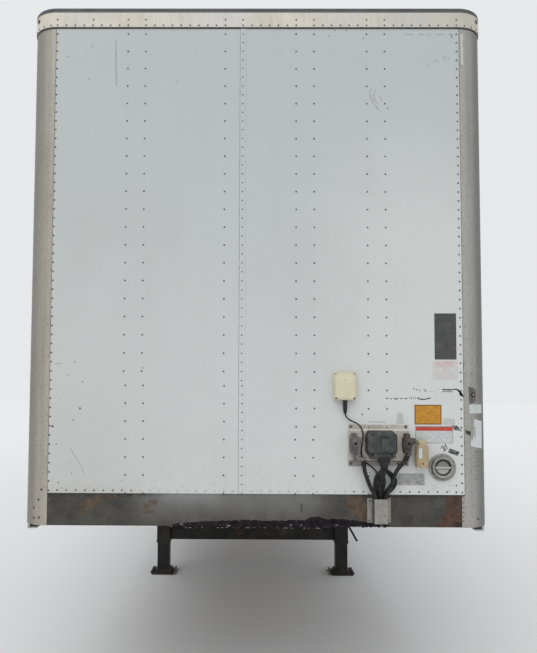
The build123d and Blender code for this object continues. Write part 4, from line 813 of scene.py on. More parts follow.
# Plate on the nose: bent sheet aluminium under cream paint, screwed through its flanges.
# It carries the gladhands and the electrical box. Its upper fold has a painted highlight, and the lower one a
# painted shadow line with darker broken streaks below it.
plate_flange_y = wall_y - 0.003
raised_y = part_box("nose_plate")[0].y


def plate_paint(place):
    """Cream enamel with a painted highlight on the upper fold, a painted shadow line at the lower one, darker
    broken streaks just below it and a smudge under the curb gladhand.
    """
    height = along(place, "Z")
    # Painted highlight on the upper fold, and a painted shadow line where the raised face ends at the lower
    # fold
    fold = band(height, 1.7195, 1.7215, 1.7295, 1.7315)
    pocket = band(height, 1.551, 1.555, 1.557, 1.561)
    low = times(spread(height, 1.556, 1.548), spread(cloud(place, 0.05, 5, 0.6, (3, 1, 1)), 0.4, 0.6))
    smudge = box_mask(place, (0.515, 1.50), (0.60, 1.61), 0.02, ragged=0.02)
    return layered(
        two_tone((0.38, 0.35, 0.30), (0.50, 0.47, 0.415), 0.05)(place),
        (fold, 0.8, (0.66, 0.635, 0.59)),
        (pocket, 0.9, (0.045, 0.042, 0.038)),
        (low, 0.6, (0.13, 0.12, 0.11)),
        (smudge, 0.35, (0.20, 0.19, 0.20)),
    )


nose_plate_metal = weathered(
    "nose_plate_metal", plate_paint, dust=(0.16, 0.135, 0.10), amount=0.4, size=0.14, roughness=0.5,
    metallic=0.1, grain=0.02, depth=0.0005,
)
dress(nose_plate_metal, "nose_plate")
flange_screws = ((0.523, 1.742), (0.825, 1.743), (0.523, 1.540), (0.782, 1.539), (0.827, 1.539))
screws("plate_screws", facing(plate_flange_y, flange_screws), width=0.010)
flange_rivets = ((0.623, 1.739), (0.722, 1.740), (0.737, 1.539))
rivets(
    "plate_rivets", facing(plate_flange_y, flange_rivets), radius=0.0045, material=dark_heads,
)


# Electrical box: a grey green moulding whose hinged lid covers the socket for the tractor's lead.
# A hex bolt, two rubbed bosses and dark hinge slots break its face, and a rubber boot holds the looms below.
box_plastic = weathered(
    "nose_box_plastic", two_tone((0.028, 0.032, 0.031), (0.062, 0.067, 0.065), 0.03),
    dust=(0.16, 0.145, 0.13), amount=0.30, size=0.12, roughness=0.5, gloss=0.4,
)
dress(box_plastic, "nose_box")
box_y = raised_y - 0.034
lid_y = box_y - 0.018
bosses = facing(lid_y, ((0.640, 1.656), (0.748, 1.660)))
screws("box_bolt", facing(lid_y + 0.0045, [(0.6265, 1.7045)]), width=0.009)
rivets("box_bosses", bosses, radius=0.0065, material=box_plastic, sides=14)

hinge_rubber = weathered(
    "boot_rubber", two_tone((0.008, 0.008, 0.008), (0.022, 0.021, 0.020), 0.01),
    dust=(0.09, 0.08, 0.07), amount=0.25, size=0.05, roughness=0.6, gloss=0.25,
)
hinge_slots = bmesh.new()
for left, right in ((0.624, 0.642), (0.733, 0.749)):
    upper = ((left, 1.598), (right, 1.600))
    slot_outline = (*upper, (right - 0.003, 1.589), (right - 0.008, 1.584), (left + 0.004, 1.588))
    loft(hinge_slots, [[Vector((x, box_y + out, z)) for x, z in slot_outline] for out in (0.001, -0.0035)])
new_piece("box_hinge_slots", hinge_slots, hinge_rubber)


def bead(shape, outline, y, width, proud):
    """A square bead along a closed (x, z) outline on a face at y, its middle on the outline."""
    middle = Vector([sum(axis) / len(outline) for axis in zip(*outline)])
    rings = []
    for corner in outline:
        away = (Vector(corner) - middle).normalized() * width / 2
        inner, outer = Vector(corner) - away, Vector(corner) + away
        section = ((inner, y), (inner, y - proud), (outer, y - proud), (outer, y))
        rings.append([Vector((spot.x, depth, spot.y)) for spot, depth in section])
    loft(shape, rings, looped=True)


# A rubber bead seals the lid on the box, and a dark bead round the raised grip is painted shade in its groove
lid_outline = (
    (0.600, 1.610), (0.600, 1.699), (0.614, 1.721), (0.740, 1.721),
    (0.765, 1.699), (0.765, 1.612), (0.754, 1.601), (0.610, 1.601),
)
grip_outline = (
    (0.6775, 1.6145), (0.6745, 1.6185), (0.6745, 1.6835), (0.6775, 1.6875),
    (0.7205, 1.6875), (0.7235, 1.6835), (0.7235, 1.6185), (0.7205, 1.6145),
)
lid_bead = bmesh.new()
bead(lid_bead, lid_outline, box_y + 0.0005, 0.004, 0.003)
# The dark bead round the grip stands for painted shade in its groove
bead(lid_bead, grip_outline, lid_y + 0.0005, 0.0024, 0.0012)
new_piece("box_lid_bead", lid_bead, hinge_rubber)

boot_x, boot_y, boot_sides = 0.6965, wall_y - 0.050, 28
# Half width, half depth and height of the boot's rings
boot_rings = (
    (0.034, 0.020, 1.579), (0.035, 0.0205, 1.572), (0.033, 0.020, 1.560), (0.029, 0.0195, 1.552),
    (0.024, 0.0195, 1.545), (0.0245, 0.0205, 1.540), (0.0205, 0.0198, 1.536), (0.021, 0.0205, 1.531),
    (0.018, 0.017, 1.526), (0.016, 0.015, 1.520),
)
boot_turns = [math.tau * side / boot_sides for side in range(boot_sides)]
boot = bmesh.new()
loft(boot, [
    [Vector((boot_x + wide * math.cos(a), boot_y + deep * math.sin(a), level)) for a in boot_turns]
    for wide, deep, level in boot_rings
])
new_piece("harness_boot", boot, hinge_rubber, smooth=True)


# Gladhands: two cast couplings for the air hoses, each with a rubber seal ring in its face.
# The curb one is grey with dust and the road one brown with rust.
def cast_paint(place):
    """Grey dust over cast metal on the curb side, brown rust on the road side."""
    grey = two_tone((0.055, 0.050, 0.052), (0.19, 0.18, 0.175), 0.018)(place)
    brown = two_tone((0.022, 0.018, 0.016), (0.105, 0.085, 0.078), 0.016)(place)
    return tint(spread(along(place, "X"), 0.60, 0.75), grey, brown)


def turned(name, turns, material, smooth=True):
    """Turned parts as one piece; each has a profile, a centre, an axis and its number of sides."""
    shape = bmesh.new()
    for profile, centre, axis, sides in turns:
        turn(shape, profile, centre, axis, sides)
    return new_piece(name, shape, material, smooth=smooth)


gladhand_metal = weathered(
    "gladhand_metal", cast_paint, dust=(0.15, 0.13, 0.11), amount=0.4, size=0.06, roughness=0.65,
    metallic=0.2, grain=0.006, depth=0.0009, rust=(0.2, 0.05),
)
dress(gladhand_metal, "gladhands")
hand_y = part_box("gladhands")[0].y
mouths = [Vector((hand_x, hand_y, 1.655)) for hand_x in (0.536, 0.824)]
seal_profile = (
    (0, 0.0075), (0.0035, 0.0075), (0.0045, 0.002), (0.0098, 0.0006), (0.0152, 0.0006), (0.0152, 0.0026),
    (0, 0.0035),
)
seal_rings = [(seal_profile, mouth, (0, 1, 0), 24) for mouth in mouths]
turned("gladhand_seals", seal_rings, hinge_rubber)
# Cast ear over the mouth, where the other half hooks in, and two ribs down the neck
ear = ((-0.021, 0.016), (-0.012, 0.029), (0.012, 0.029), (0.021, 0.016), (0.016, 0.010), (-0.016, 0.010))
rib_aside, rib_half, rib_foot, rib_head = 0.009, 0.0025, -0.050, -0.026
lugs = bmesh.new()
for mouth in mouths:
    loft(lugs, [[mouth + Vector((x, out, z)) for x, z in ear] for out in (0.001, 0.010)])
    for rib in (-rib_aside, rib_aside):
        left, right = rib - rib_half, rib + rib_half
        neck = ((left, rib_foot), (left, rib_head), (right, rib_head), (right, rib_foot))
        loft(lugs, [[mouth + Vector((x, out, z)) for x, z in neck] for out in (0.019, 0.030)])
new_piece("gladhand_lugs", lugs, gladhand_metal)


# Air hoses, the lamp harness and the sensor's lead: rubber cords that hang in bows from their fittings.
# All five run down behind the folded cover; each half of the harness is a loom of six twisted leads.
hose_rubber = weathered(
    "hose_rubber", two_tone((0.006, 0.006, 0.007), (0.020, 0.019, 0.018), 0.03),
    dust=(0.13, 0.12, 0.11), amount=0.18, size=0.06, roughness=0.5, grain=0.003, gloss=0.25,
)

# Each cord: name, its CAD node, diameter, length, whether it is a loom, and the points of its route
# as x, how far in front of the wall, and z
cord_routes = (
    ("curb_air_line", "air_hose_curb", 0.022, 0.255, False, (
        (0.586, 0.050, 1.560), (0.586, 0.050, 1.522), (0.601, 0.050, 1.470), (0.626, 0.045, 1.408),
        (0.657, 0.030, 1.362), (0.657, 0.030, 1.322),
    )),
    ("road_air_line", "air_hose_road", 0.022, 0.300, False, (
        (0.822, 0.052, 1.587), (0.80415, 0.052, 1.554), (0.768, 0.057, 1.520), (0.748, 0.058, 1.478),
        (0.738, 0.054, 1.438), (0.724, 0.044, 1.400), (0.703, 0.030, 1.362), (0.703, 0.030, 1.322),
    )),
    ("curb_harness_line", "harness_curb", 0.015, 0.234, True, (
        (0.6885, 0.050, 1.530), (0.6885, 0.050, 1.508), (0.668, 0.052, 1.482), (0.662, 0.044, 1.442),
        (0.664, 0.022, 1.400), (0.664, 0.009, 1.362), (0.664, 0.009, 1.322),
    )),
    ("road_harness_line", "harness_road", 0.015, 0.251, True, (
        (0.7045, 0.050, 1.530), (0.7045, 0.050, 1.510), (0.738, 0.036, 1.484), (0.758, 0.028, 1.450),
        (0.742, 0.018, 1.412), (0.712, 0.011, 1.386), (0.694, 0.009, 1.358), (0.694, 0.009, 1.322),
    )),
    ("sensor_line", "sensor_cable", 0.008, 0.592, False, (
        (0.490, 0.020, 1.826), (0.490, 0.020, 1.800), (0.519, 0.018, 1.776), (0.564, 0.024, 1.758),
        (0.587, 0.029, 1.718), (0.586, 0.028, 1.670), (0.576, 0.028, 1.622), (0.578, 0.028, 1.582),
        (0.603, 0.028, 1.547), (0.636, 0.017, 1.524), (0.664, 0.010, 1.498), (0.680, 0.010, 1.456),
        (0.686, 0.009, 1.410), (0.679, 0.009, 1.362), (0.679, 0.009, 1.322),
    )),
)
lead_radius, lead_sides, loom_leads = 0.0031, 8, 6
loom_wide, loom_deep, loom_twist = 0.0082, 0.0042, 2.4
# Slack leads that bow out beside each loom: how far across each stands at the middle
slack_leads = {
    "curb_harness_line": (-0.0225, -0.0150, 0.0150, 0.0225, 0.0300, 0.0375),
    "road_harness_line": (-0.0150, 0.0140),
}
slack_radius, slack_proud = 0.0037, 0.010
loom_held, slack_held = 0.25, 0.2


def route_stations(cord):
    """Points read from a cord's NURBS route, and for each its share of the way and two directions across."""
    route = bpy.data.meshes.new_from_object(cord)
    path = [vertex.co.copy() for vertex in route.vertices]
    bpy.data.meshes.remove(route)
    last = len(path) - 1
    stations = []
    for number, spot in enumerate(path):
        forward = (path[min(number + 1, last)] - path[max(number - 1, 0)]).normalized()
        outward = (ahead - forward * ahead.dot(forward)).normalized()
        stations.append((spot, number / last, outward.cross(forward), outward))
    return path, stations


def lead_ring(spot, across, outward, radius):
    """A lead's section round a spot."""
    turns = [math.tau * side / lead_sides for side in range(lead_sides)]
    return [spot + (across * math.cos(a) + outward * math.sin(a)) * radius for a in turns]


def bowed(share, held):
    """How far leads spread at a share of the way, from held at the ends to 1 in the middle."""
    return held + (1 - held) * math.sin(math.pi * share)


for name, node, diameter, length, is_loom, bows in cord_routes:
    points = [(x, wall_y - depth, z) for x, depth, z in bows]
    line = bpy.data.curves.new(name, "CURVE")
    line.dimensions = "3D"
    line.resolution_u = 10
    run = line.splines.new("NURBS")
    run.points.add(len(points) - 1)
    for knot, point in zip(run.points, points):
        knot.co = (*point, 1)
    run.order_u = 3
    run.use_endpoint_u = True
    cord = bpy.data.objects.new(name + "_route" if is_loom else name, line)
    scene.collection.objects.link(cord)
    path = None
    beside = []
    if is_loom:
        path, stations = route_stations(cord)
        bpy.data.objects.remove(cord)
        loom = bmesh.new()
        for lead in range(loom_leads):
            rings = []
            for spot, share, across, outward in stations:
                angle = math.tau * lead / loom_leads + loom_twist * share
                swell = bowed(share, loom_held)
                centre = spot + across * (math.cos(angle) * loom_wide * swell)
                centre += outward * (math.sin(angle) * loom_deep * swell)
                rings.append(lead_ring(centre, across, outward, lead_radius))
            loft(loom, rings)
        cord = new_piece(name, loom, hose_rubber, smooth=True)
        slack = bmesh.new()
        for reach in slack_leads[name]:
            rings = []
            for spot, share, across, outward in stations:
                centre = spot + across * reach * bowed(share, slack_held) + outward * slack_proud * share
                rings.append(lead_ring(centre, across, outward, slack_radius))
            loft(slack, rings)
        beside = [new_piece(name + "_slack_leads", slack, hose_rubber, smooth=True)]
    else:
        line.bevel_depth = diameter / 2
        line.bevel_resolution = 3
        line.use_fill_caps = True
        line.materials.append(hose_rubber)
        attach(cord, body)
    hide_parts(node)

ferrule_profile = (
    (0, -0.003), (0.0138, -0.003), (0.0145, 0.001), (0.0145, 0.011), (0.0132, 0.013), (0.0145, 0.015),
    (0.0145, 0.024), (0.0125, 0.026), (0, 0.026),
)
ferrule_ends = (
    (ferrule_profile, (0.586, wall_y - 0.050, 1.560), (0, 0, -1), 20),
    (ferrule_profile, (0.822, wall_y - 0.052, 1.587), (-0.01785, 0, -0.033), 20),
)
turned("hose_ferrules", ferrule_ends, hinge_rubber)


# Folded cover over the cords where they enter the sill: galvanised sheet, screwed on at four corners.
# Wind and grit have dulled the zinc, and painted shade lies along its left fold.
def zinc_paint(place):
    """Zinc in small crystals of slightly different greys, with painted shade in black along the fold."""
    cells = put(place, "TexVoronoi", {"Vector": place, "Scale": 90.0}).outputs["Color"]
    # Painted shade: a black line along the left fold
    fold = box_mask(place, (0.6385, 1.20), (0.6445, 1.36), 0.002, ragged=0.002)
    zinc = tint(along(cells, "X"), (0.235, 0.222, 0.195), (0.31, 0.295, 0.265))
    return layered(zinc, (fold, 0.75, (0.035, 0.032, 0.028)))


galvanised = weathered(
    "galvanised", zinc_paint, dust=(0.13, 0.115, 0.10), amount=0.45, size=0.12, roughness=0.5, metallic=0.3,
)
dress(galvanised, "cable_cover", "door_gear_road", "door_gear_curb")
cover_screws = ((0.626, 1.337), (0.727, 1.337), (0.623, 1.231), (0.725, 1.234))
screws("cover_screws", facing(sill_face - 0.003, cover_screws), width=0.0072)


# Sensor housing: a cream moulding on the wall, four screws in its corners and a lead out of its foot.
# The lead leaves through a tapered rubber boot.
sensor_plastic = weathered(
    "sensor_plastic", two_tone((0.56, 0.52, 0.36), (0.62, 0.58, 0.42), 0.06),
    dust=(0.34, 0.28, 0.18), amount=0.3, size=0.15, roughness=0.45, grain=0.003, depth=0.0002,
)
dress(sensor_plastic, "sensor_box")
sensor_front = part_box("sensor_box")[0].y
sensor_rim = sensor_front + 0.004
screw_post = ((0, 0), (1, 0), (1, 1), (0.8, 1.2), (0, 1.2))
# Each screw: its place and radius
sensor_corners = (
    (0.4370, 2.0320, 0.0034), (0.5400, 2.0320, 0.0034), (0.4385, 1.8985, 0.0056), (0.5385, 1.8985, 0.0056),
)
sensor_screws = [
    ([(share * radius, reach * 0.0045) for share, reach in screw_post], (x, sensor_rim, z), ahead, 14)
    for x, z, radius in sensor_corners
]
turned("sensor_screws", sensor_screws, fastener, smooth=False)
taper = (
    (0, 0), (0.0135, 0), (0.0135, 0.004), (0.0118, 0.006), (0.0118, 0.032), (0.0105, 0.046), (0.0098, 0.062),
    (0.0058, 0.074), (0, 0.074),
)
sensor_boot = [(taper, (0.490, wall_y - 0.020, 1.887), (0, 0, -1), 20)]
turned("sensor_boot", sensor_boot, hinge_rubber)
sensor_vent = [(plug(0.0028, -0.0003, 0.0004), (0.490, sensor_front, 1.997), ahead, 12)]
turned("sensor_vent", sensor_vent, fastener, smooth=False)


# Document tube: a yellowed plastic tube with a cap, held to the wall by a moulded back.
# A blank white slip is wrapped round its front, and black discs in the drain hole in its boss and in a hole
# in its side are painted shade.
def tube_paint(place):
    """Yellowed plastic, browner below the cap."""
    brown = two_tone((0.36, 0.265, 0.145), (0.45, 0.345, 0.20), 0.03)(place)
    cap = two_tone((0.46, 0.40, 0.23), (0.56, 0.50, 0.31), 0.03)(place)
    return tint(spread(along(place, "Z"), 1.636, 1.648), brown, cap)


tube_plastic = weathered(
    "tube_plastic", tube_paint, dust=(0.16, 0.11, 0.06), amount=0.4, size=0.1, roughness=0.45,
)
dress(tube_plastic, "document_tube")
tube_centre = Vector((0.904, wall_y - 0.036, 0))
tube_radius, wrap_steps = 0.035, 8


def wrapped(name, left, right, low, high, lift, material):
    """A thin sheet bent round the tube's front between two x and two heights, standing lift proud of it."""
    rings = []
    for step in range(wrap_steps + 1):
        x = left + (right - left) * step / wrap_steps
        lean = math.asin((x - tube_centre.x) / tube_radius)
        outward = Vector((math.sin(lean), -math.cos(lean), 0))
        corners = ((0.0, low), (lift, low), (lift, high), (0.0, high))
        rings.append([tube_centre + outward * (tube_radius + out) + Vector((0, 0, z)) for out, z in corners])
    shape = bmesh.new()
    loft(shape, rings)
    return new_piece(name, shape, material)


paper = weathered(
    "paper_slip", two_tone((0.52, 0.54, 0.545), (0.60, 0.62, 0.62), 0.03),
    dust=(0.25, 0.23, 0.20), amount=0.3, size=0.06, roughness=0.7,
)
card_edge = weathered(
    "slip_border", two_tone((0.14, 0.155, 0.14), (0.24, 0.25, 0.23), 0.02),
    dust=(0.12, 0.11, 0.09), amount=0.3, size=0.05, roughness=0.7,
)
wrapped("tube_slip_border", 0.8795, 0.9010, 1.5745, 1.6345, 0.0004, card_edge)
wrapped("tube_slip", 0.8815, 0.8990, 1.5765, 1.6325, 0.0008, paper)
# Painted shade: black discs in the boss's drain hole and in a small hole in the tube's side
tube_hole_shadows = (
    (plug(0.0068, 0.0005, -0.004), (tube_centre.x, wall_y - 0.0665, 1.548), ahead, 16),
    (plug(0.0022, -0.001, 0.0008), tube_centre + Vector((-0.0345, -0.007, 1.596)), (-0.98, -0.2, 0), 10),
)
turned("tube_hole_shadows", tube_hole_shadows, hinge_rubber, smooth=False)


# Round holder with a screwed rim and a pocket for papers behind its bar.
# A black ring runs round the pocket, with painted shade in the pocket above the bar and painted light on the
# pocket below it.
holder_x, holder_z = 1.024, 1.522


def holder_paint(place):
    """Grey plastic: black ring round the pocket, painted shadow under its upper edge, painted shade in the
    groove, darkest at the lower left, and in the pocket above the bar, painted light on the pocket below the
    bar, pale on the bar.
    """
    off = put(place, "VectorMath", {0: place, 1: (holder_x, 0, holder_z)}, operation="SUBTRACT").outputs[0]
    flat = put(off, "VectorMath", {0: off, 1: (1, 0, 1)}, operation="MULTIPLY").outputs[0]
    reach = put(flat, "VectorMath", {0: flat}, operation="LENGTH").outputs["Value"]
    height = along(place, "Z")
    ring = band(reach, 0.036, 0.040, 0.042, 0.047)
    # Painted shadow under the pocket's upper edge
    shade = times(band(reach, 0.031, 0.034, 0.044, 0.048), spread(height, holder_z + 0.004, holder_z + 0.020))
    slant = sums("ADD", along(off, "X"), along(off, "Z"))
    # Painted shade in the groove, darkest at the lower left
    groove_shade = times(band(reach, 0.058, 0.060, 0.062, 0.066), spread(slant, 0.02, -0.05, 0.35, 1.0))
    # Painted shade in the pocket above the bar, and painted light on the pocket below it
    pocket = spread(reach, 0.037, 0.033)
    upper = times(pocket, spread(height, 1.528, 1.534))
    lit_lower_pocket = times(pocket, spread(height, 1.514, 1.508))
    bar_half, bar_rise = 0.042, 0.0045
    bar = box_mask(
        place, (holder_x - bar_half, holder_z - bar_rise), (holder_x + bar_half, holder_z + bar_rise), 0.001,
    )
    return layered(
        two_tone((0.185, 0.183, 0.165), (0.34, 0.335, 0.31), 0.02)(place),
        (ring, 0.85, (0.022, 0.022, 0.022)),
        (shade, 0.85, (0.012, 0.012, 0.012)),
        (groove_shade, 0.85, (0.04, 0.04, 0.037)),
        (upper, 0.5, (0.115, 0.115, 0.11)),
        (lit_lower_pocket, 0.55, (0.46, 0.45, 0.42)),
        (bar, 0.75, (0.50, 0.50, 0.47)),
    )


holder_plastic = weathered(
    "holder_plastic", holder_paint, dust=(0.10, 0.09, 0.075), amount=0.5, size=0.08, roughness=0.5,
)
dress(holder_plastic, "document_holder")
rim_reach, rim_count, rim_turn = 0.0665, 6, 28
rim_angles = [math.radians(rim_turn + 360 / rim_count * number) for number in range(rim_count)]
rim_spots = [(holder_x + rim_reach * math.cos(a), holder_z + rim_reach * math.sin(a)) for a in rim_angles]
rivets(
    "holder_rim_screws", facing(wall_y - 0.0115, rim_spots), radius=0.0032, material=dark_heads,
)


# Stickers: notices, inspection slips and tape whose print the sun has bleached to a faint unreadable tone.
# Vinyl and paper, laid flat on the sheet or bent over the corner post; all are left blank.
sheet_steps = 12


def laid_sheet(name, material, lift, slot, *corners):
    """A thin sheet on the body's face; corners are (x, z): upper left, upper right, lower right and left."""
    shape = bmesh.new()
    upper_left, upper_right, lower_right, lower_left = corners
    rings = []
    for step in range(sheet_steps + 1):
        share = step / sheet_steps
        top = [a + (b - a) * share for a, b in zip(upper_left, upper_right)]
        foot = [a + (b - a) * share for a, b in zip(lower_left, lower_right)]
        rings.append([on_skin(*foot)[0], on_skin(*foot, lift)[0], on_skin(*top, lift)[0], on_skin(*top)[0]])
    loft(shape, rings)
    return new_piece(name, shape, material)


def oblong(left, right, low, high):
    """The four corners of an upright rectangle."""
    return (left, high), (right, high), (right, low), (left, low)


def bleached(name, fresh, faded, ink, share, line=0.010, amount=0.25):
    """Sticker vinyl with nothing left to read: bleached, and scuffed in streaks about line metres apart."""
    def lay(place):
        scuffed = spread(cloud(place, line * 0.7, 5, 0.65, (4.5, 1, 1)), 0.44, 0.62)
        return layered(two_tone(fresh, faded, 0.025)(place), (scuffed, share, ink))
    return weathered(name, lay, dust=(0.25, 0.22, 0.17), amount=amount, size=0.07, roughness=0.5)


def scrap(name, dark, light, lump, dust, amount, size, roughness=0.5):
    """Tape, card or dried dirt in two tones."""
    return weathered(
        name, two_tone(dark, light, lump), dust=dust, amount=amount, size=size, roughness=roughness,
    )


orange_vinyl = bleached(
    "orange_vinyl", (0.50, 0.225, 0.008), (0.54, 0.25, 0.012), (0.20, 0.08, 0.006), share=0.5, line=0.007,
    amount=0.06,
)
white_vinyl = bleached(
    "white_vinyl", (0.50, 0.525, 0.51), (0.56, 0.58, 0.57), (0.30, 0.33, 0.32), share=0.5, line=0.0075,
    amount=0.15,
)
red_vinyl = bleached(
    "red_vinyl", (0.46, 0.042, 0.018), (0.50, 0.055, 0.03), (0.24, 0.018, 0.01), share=0.4, line=0.010,
    amount=0.1,
)
dark_vinyl = bleached(
    "dark_vinyl", (0.036, 0.036, 0.036), (0.052, 0.052, 0.052), (0.085, 0.085, 0.085), share=0.30, line=0.019,
    amount=0.12,
)
pink_vinyl = bleached(
    "pink_vinyl", (0.535, 0.545, 0.54), (0.56, 0.56, 0.55), (0.55, 0.38, 0.37), share=0.6, line=0.008,
    amount=0.1,
)
pink_band_vinyl = bleached(
    "pink_band_vinyl", (0.56, 0.50, 0.49), (0.57, 0.46, 0.45), (0.53, 0.28, 0.27), share=0.6, line=0.012,
    amount=0.1,
)
grey_vinyl = bleached(
    "grey_vinyl", (0.30, 0.305, 0.30), (0.38, 0.385, 0.375), (0.13, 0.13, 0.125), share=0.6, line=0.009,
    amount=0.3,
)
brown_vinyl = scrap(
    "brown_vinyl", (0.15, 0.055, 0.007), (0.23, 0.085, 0.008), lump=0.02, dust=(0.1, 0.08, 0.05), amount=0.2,
    size=0.06,
)
border_vinyl = scrap(
    "border_vinyl", (0.11, 0.115, 0.12), (0.22, 0.225, 0.225), lump=0.015, dust=(0.12, 0.11, 0.09),
    amount=0.3, size=0.05,
)
clear_tape = scrap(
    "clear_tape", (0.43, 0.435, 0.41), (0.50, 0.505, 0.485), lump=0.02, dust=(0.3, 0.28, 0.22), amount=0.3,
    size=0.05, roughness=0.35,
)
tape_scrap = scrap(
    "tape_scrap", (0.035, 0.033, 0.031), (0.21, 0.205, 0.195), lump=0.013, dust=(0.2, 0.19, 0.17), amount=0.2,
    size=0.02, roughness=0.8,
)
grime = scrap(
    "dark_grime", (0.014, 0.013, 0.012), (0.050, 0.047, 0.044), lump=0.012, dust=(0.2, 0.19, 0.17),
    amount=0.2, size=0.02, roughness=0.8,
)
faint_grime = scrap(
    "faint_grime", (0.20, 0.20, 0.195), (0.30, 0.30, 0.295), lump=0.012, dust=(0.3, 0.3, 0.28), amount=0.3,
    size=0.02, roughness=0.8,
)
plate_metal = weathered(
    "lamp_plate_metal", two_tone((0.075, 0.075, 0.07), (0.15, 0.15, 0.14), 0.02),
    dust=(0.1, 0.09, 0.07), amount=0.3, size=0.05, roughness=0.5, metallic=0.3,
)

# Each sheet: name, material, how far it stands proud, and its corners
wall_sheets = (
    ("orange_notice_border", brown_vinyl, 0.0003, oblong(0.875, 1.024, 1.755, 1.864)),
    ("orange_notice", orange_vinyl, 0.0005, oblong(0.881, 1.018, 1.761, 1.858)),
    ("pale_patch", clear_tape, 0.0003, oblong(1.031, 1.098, 1.755, 1.789)),
    ("white_notice_border", border_vinyl, 0.0003, oblong(0.879, 1.086, 1.653, 1.747)),
    ("white_notice", white_vinyl, 0.0005, oblong(0.8815, 1.0835, 1.6555, 1.7445)),
    ("white_notice_band", red_vinyl, 0.0007, oblong(0.882, 1.083, 1.721, 1.743)),
    ("dark_notice", dark_vinyl, 0.0004, oblong(0.990, 1.111, 2.114, 2.371)),
    ("faded_notice", pink_vinyl, 0.0003, oblong(0.979, 1.117, 2.003, 2.106)),
    ("faded_notice_band", pink_band_vinyl, 0.0005, oblong(1.000, 1.100, 2.074, 2.104)),
    ("grey_slip", grey_vinyl, 0.0003, oblong(0.778, 0.927, 1.423, 1.478)),
    ("grey_slip_heading", border_vinyl, 0.0003, oblong(0.783, 0.921, 1.4805, 1.486)),
    ("clear_patch", clear_tape, 0.0002, ((0.780, 1.821), (0.811, 1.821), (0.820, 1.758), (0.774, 1.758))),
    ("dark_tape", tape_scrap, 0.0003, ((1.068, 1.626), (1.122, 1.605), (1.109, 1.583), (1.056, 1.605))),
    ("torn_tape", tape_scrap, 0.0003, ((1.080, 1.753), (1.110, 1.749), (1.138, 1.718), (1.092, 1.727))),
    ("edge_tape", grime, 0.0003, ((1.119, 1.941), (1.138, 1.932), (1.145, 1.911), (1.127, 1.914))),
)
post_sheets = (
    ("post_slip", paper, 0.0004, ((1.209, 1.786), (1.262, 1.772), (1.259, 1.621), (1.183, 1.639))),
    ("post_sticker", white_vinyl, 0.0003, oblong(1.178, 1.262, 1.817, 1.866)),
    ("post_tape", grime, 0.0003, ((1.155, 1.727), (1.186, 1.718), (1.183, 1.694), (1.157, 1.706))),
    ("post_plate", plate_metal, 0.0015, ((1.176, 1.966), (1.219, 1.950), (1.218, 1.880), (1.180, 1.867))),
)
for sheets, slot in ((wall_sheets, "white_sheet"), (post_sheets, "corner_aluminium")):
    for name, material, lift, corners in sheets:
        laid_sheet(name, material, lift, slot, *corners)

# The bracket on the post: a rubber ring with a stud in it, between two screws
plate_gauge = 0.0015
ring_spot, ring_outward = on_skin(1.202, 1.920, plate_gauge)
ring_profile = ((0, 0), (0.0130, 0), (0.0130, 0.004), (0.0110, 0.005), (0.0078, 0.0015), (0, 0.0015))
stud_rim = ((0, 0.001), (0.0074, 0.001), (0.0074, 0.003), (0.0045, 0.0036), (0.0032, 0.002), (0, 0.002))
turned("post_plate_ring", [(ring_profile, ring_spot, ring_outward, 20)], hinge_rubber)
turned("post_plate_stud", [(stud_rim, ring_spot, ring_outward, 16)], galvanised)
plate_screws = [on_skin(1.197, z, plate_gauge) for z in (1.956, 1.884)]
screws("post_plate_screws", plate_screws, width=0.0046)


# Scuffs, scratches and stuck insects on the front wall and the road side post, from years of use.
# Each is a ragged film a third of a millimetre thick, rubbed or dried on.
film_gauge, smear_step, blot_sides = 0.0003, 0.0045, 9


def smear(shape, points, width, dice):
    """A ragged ribbon along (x, z) points on the body's face."""
    spots = []
    for (x1, z1), (x2, z2) in zip(points, points[1:]):
        steps = max(2, round(math.hypot(x2 - x1, z2 - z1) / smear_step))
        spots += [(x1 + (x2 - x1) * step / steps, z1 + (z2 - z1) * step / steps) for step in range(steps)]
    spots.append(points[-1])
    rings = []
    last = len(spots) - 1
    for number, (x, z) in enumerate(spots):
        x2, z2 = spots[min(number + 1, last)]
        x1, z1 = spots[max(number - 1, 0)]
        long = math.hypot(x2 - x1, z2 - z1)
        half = width / 2 * dice.uniform(0.7, 1.25) * (0.35 if number in (0, last) else 1)
        out_x, out_z = -(z2 - z1) / long * half, (x2 - x1) / long * half
        left, right = (x + out_x, z + out_z), (x - out_x, z - out_z)
        section = ((left, 0.0), (left, film_gauge), (right, film_gauge), (right, 0.0))
        rings.append([on_skin(*spot, lift)[0] for spot, lift in section])
    loft(shape, rings)


def blot(shape, x, z, radius, dice):
    """A small uneven spot."""
    outline = []
    for number in range(blot_sides):
        reach, angle = radius * dice.uniform(0.7, 1.2), math.tau * number / blot_sides
        outline.append((x + reach * math.cos(angle), z + reach * math.sin(angle)))
    loft(shape, [[on_skin(*spot, lift)[0] for spot in outline] for lift in (0, film_gauge)])


dice = random.Random(11)
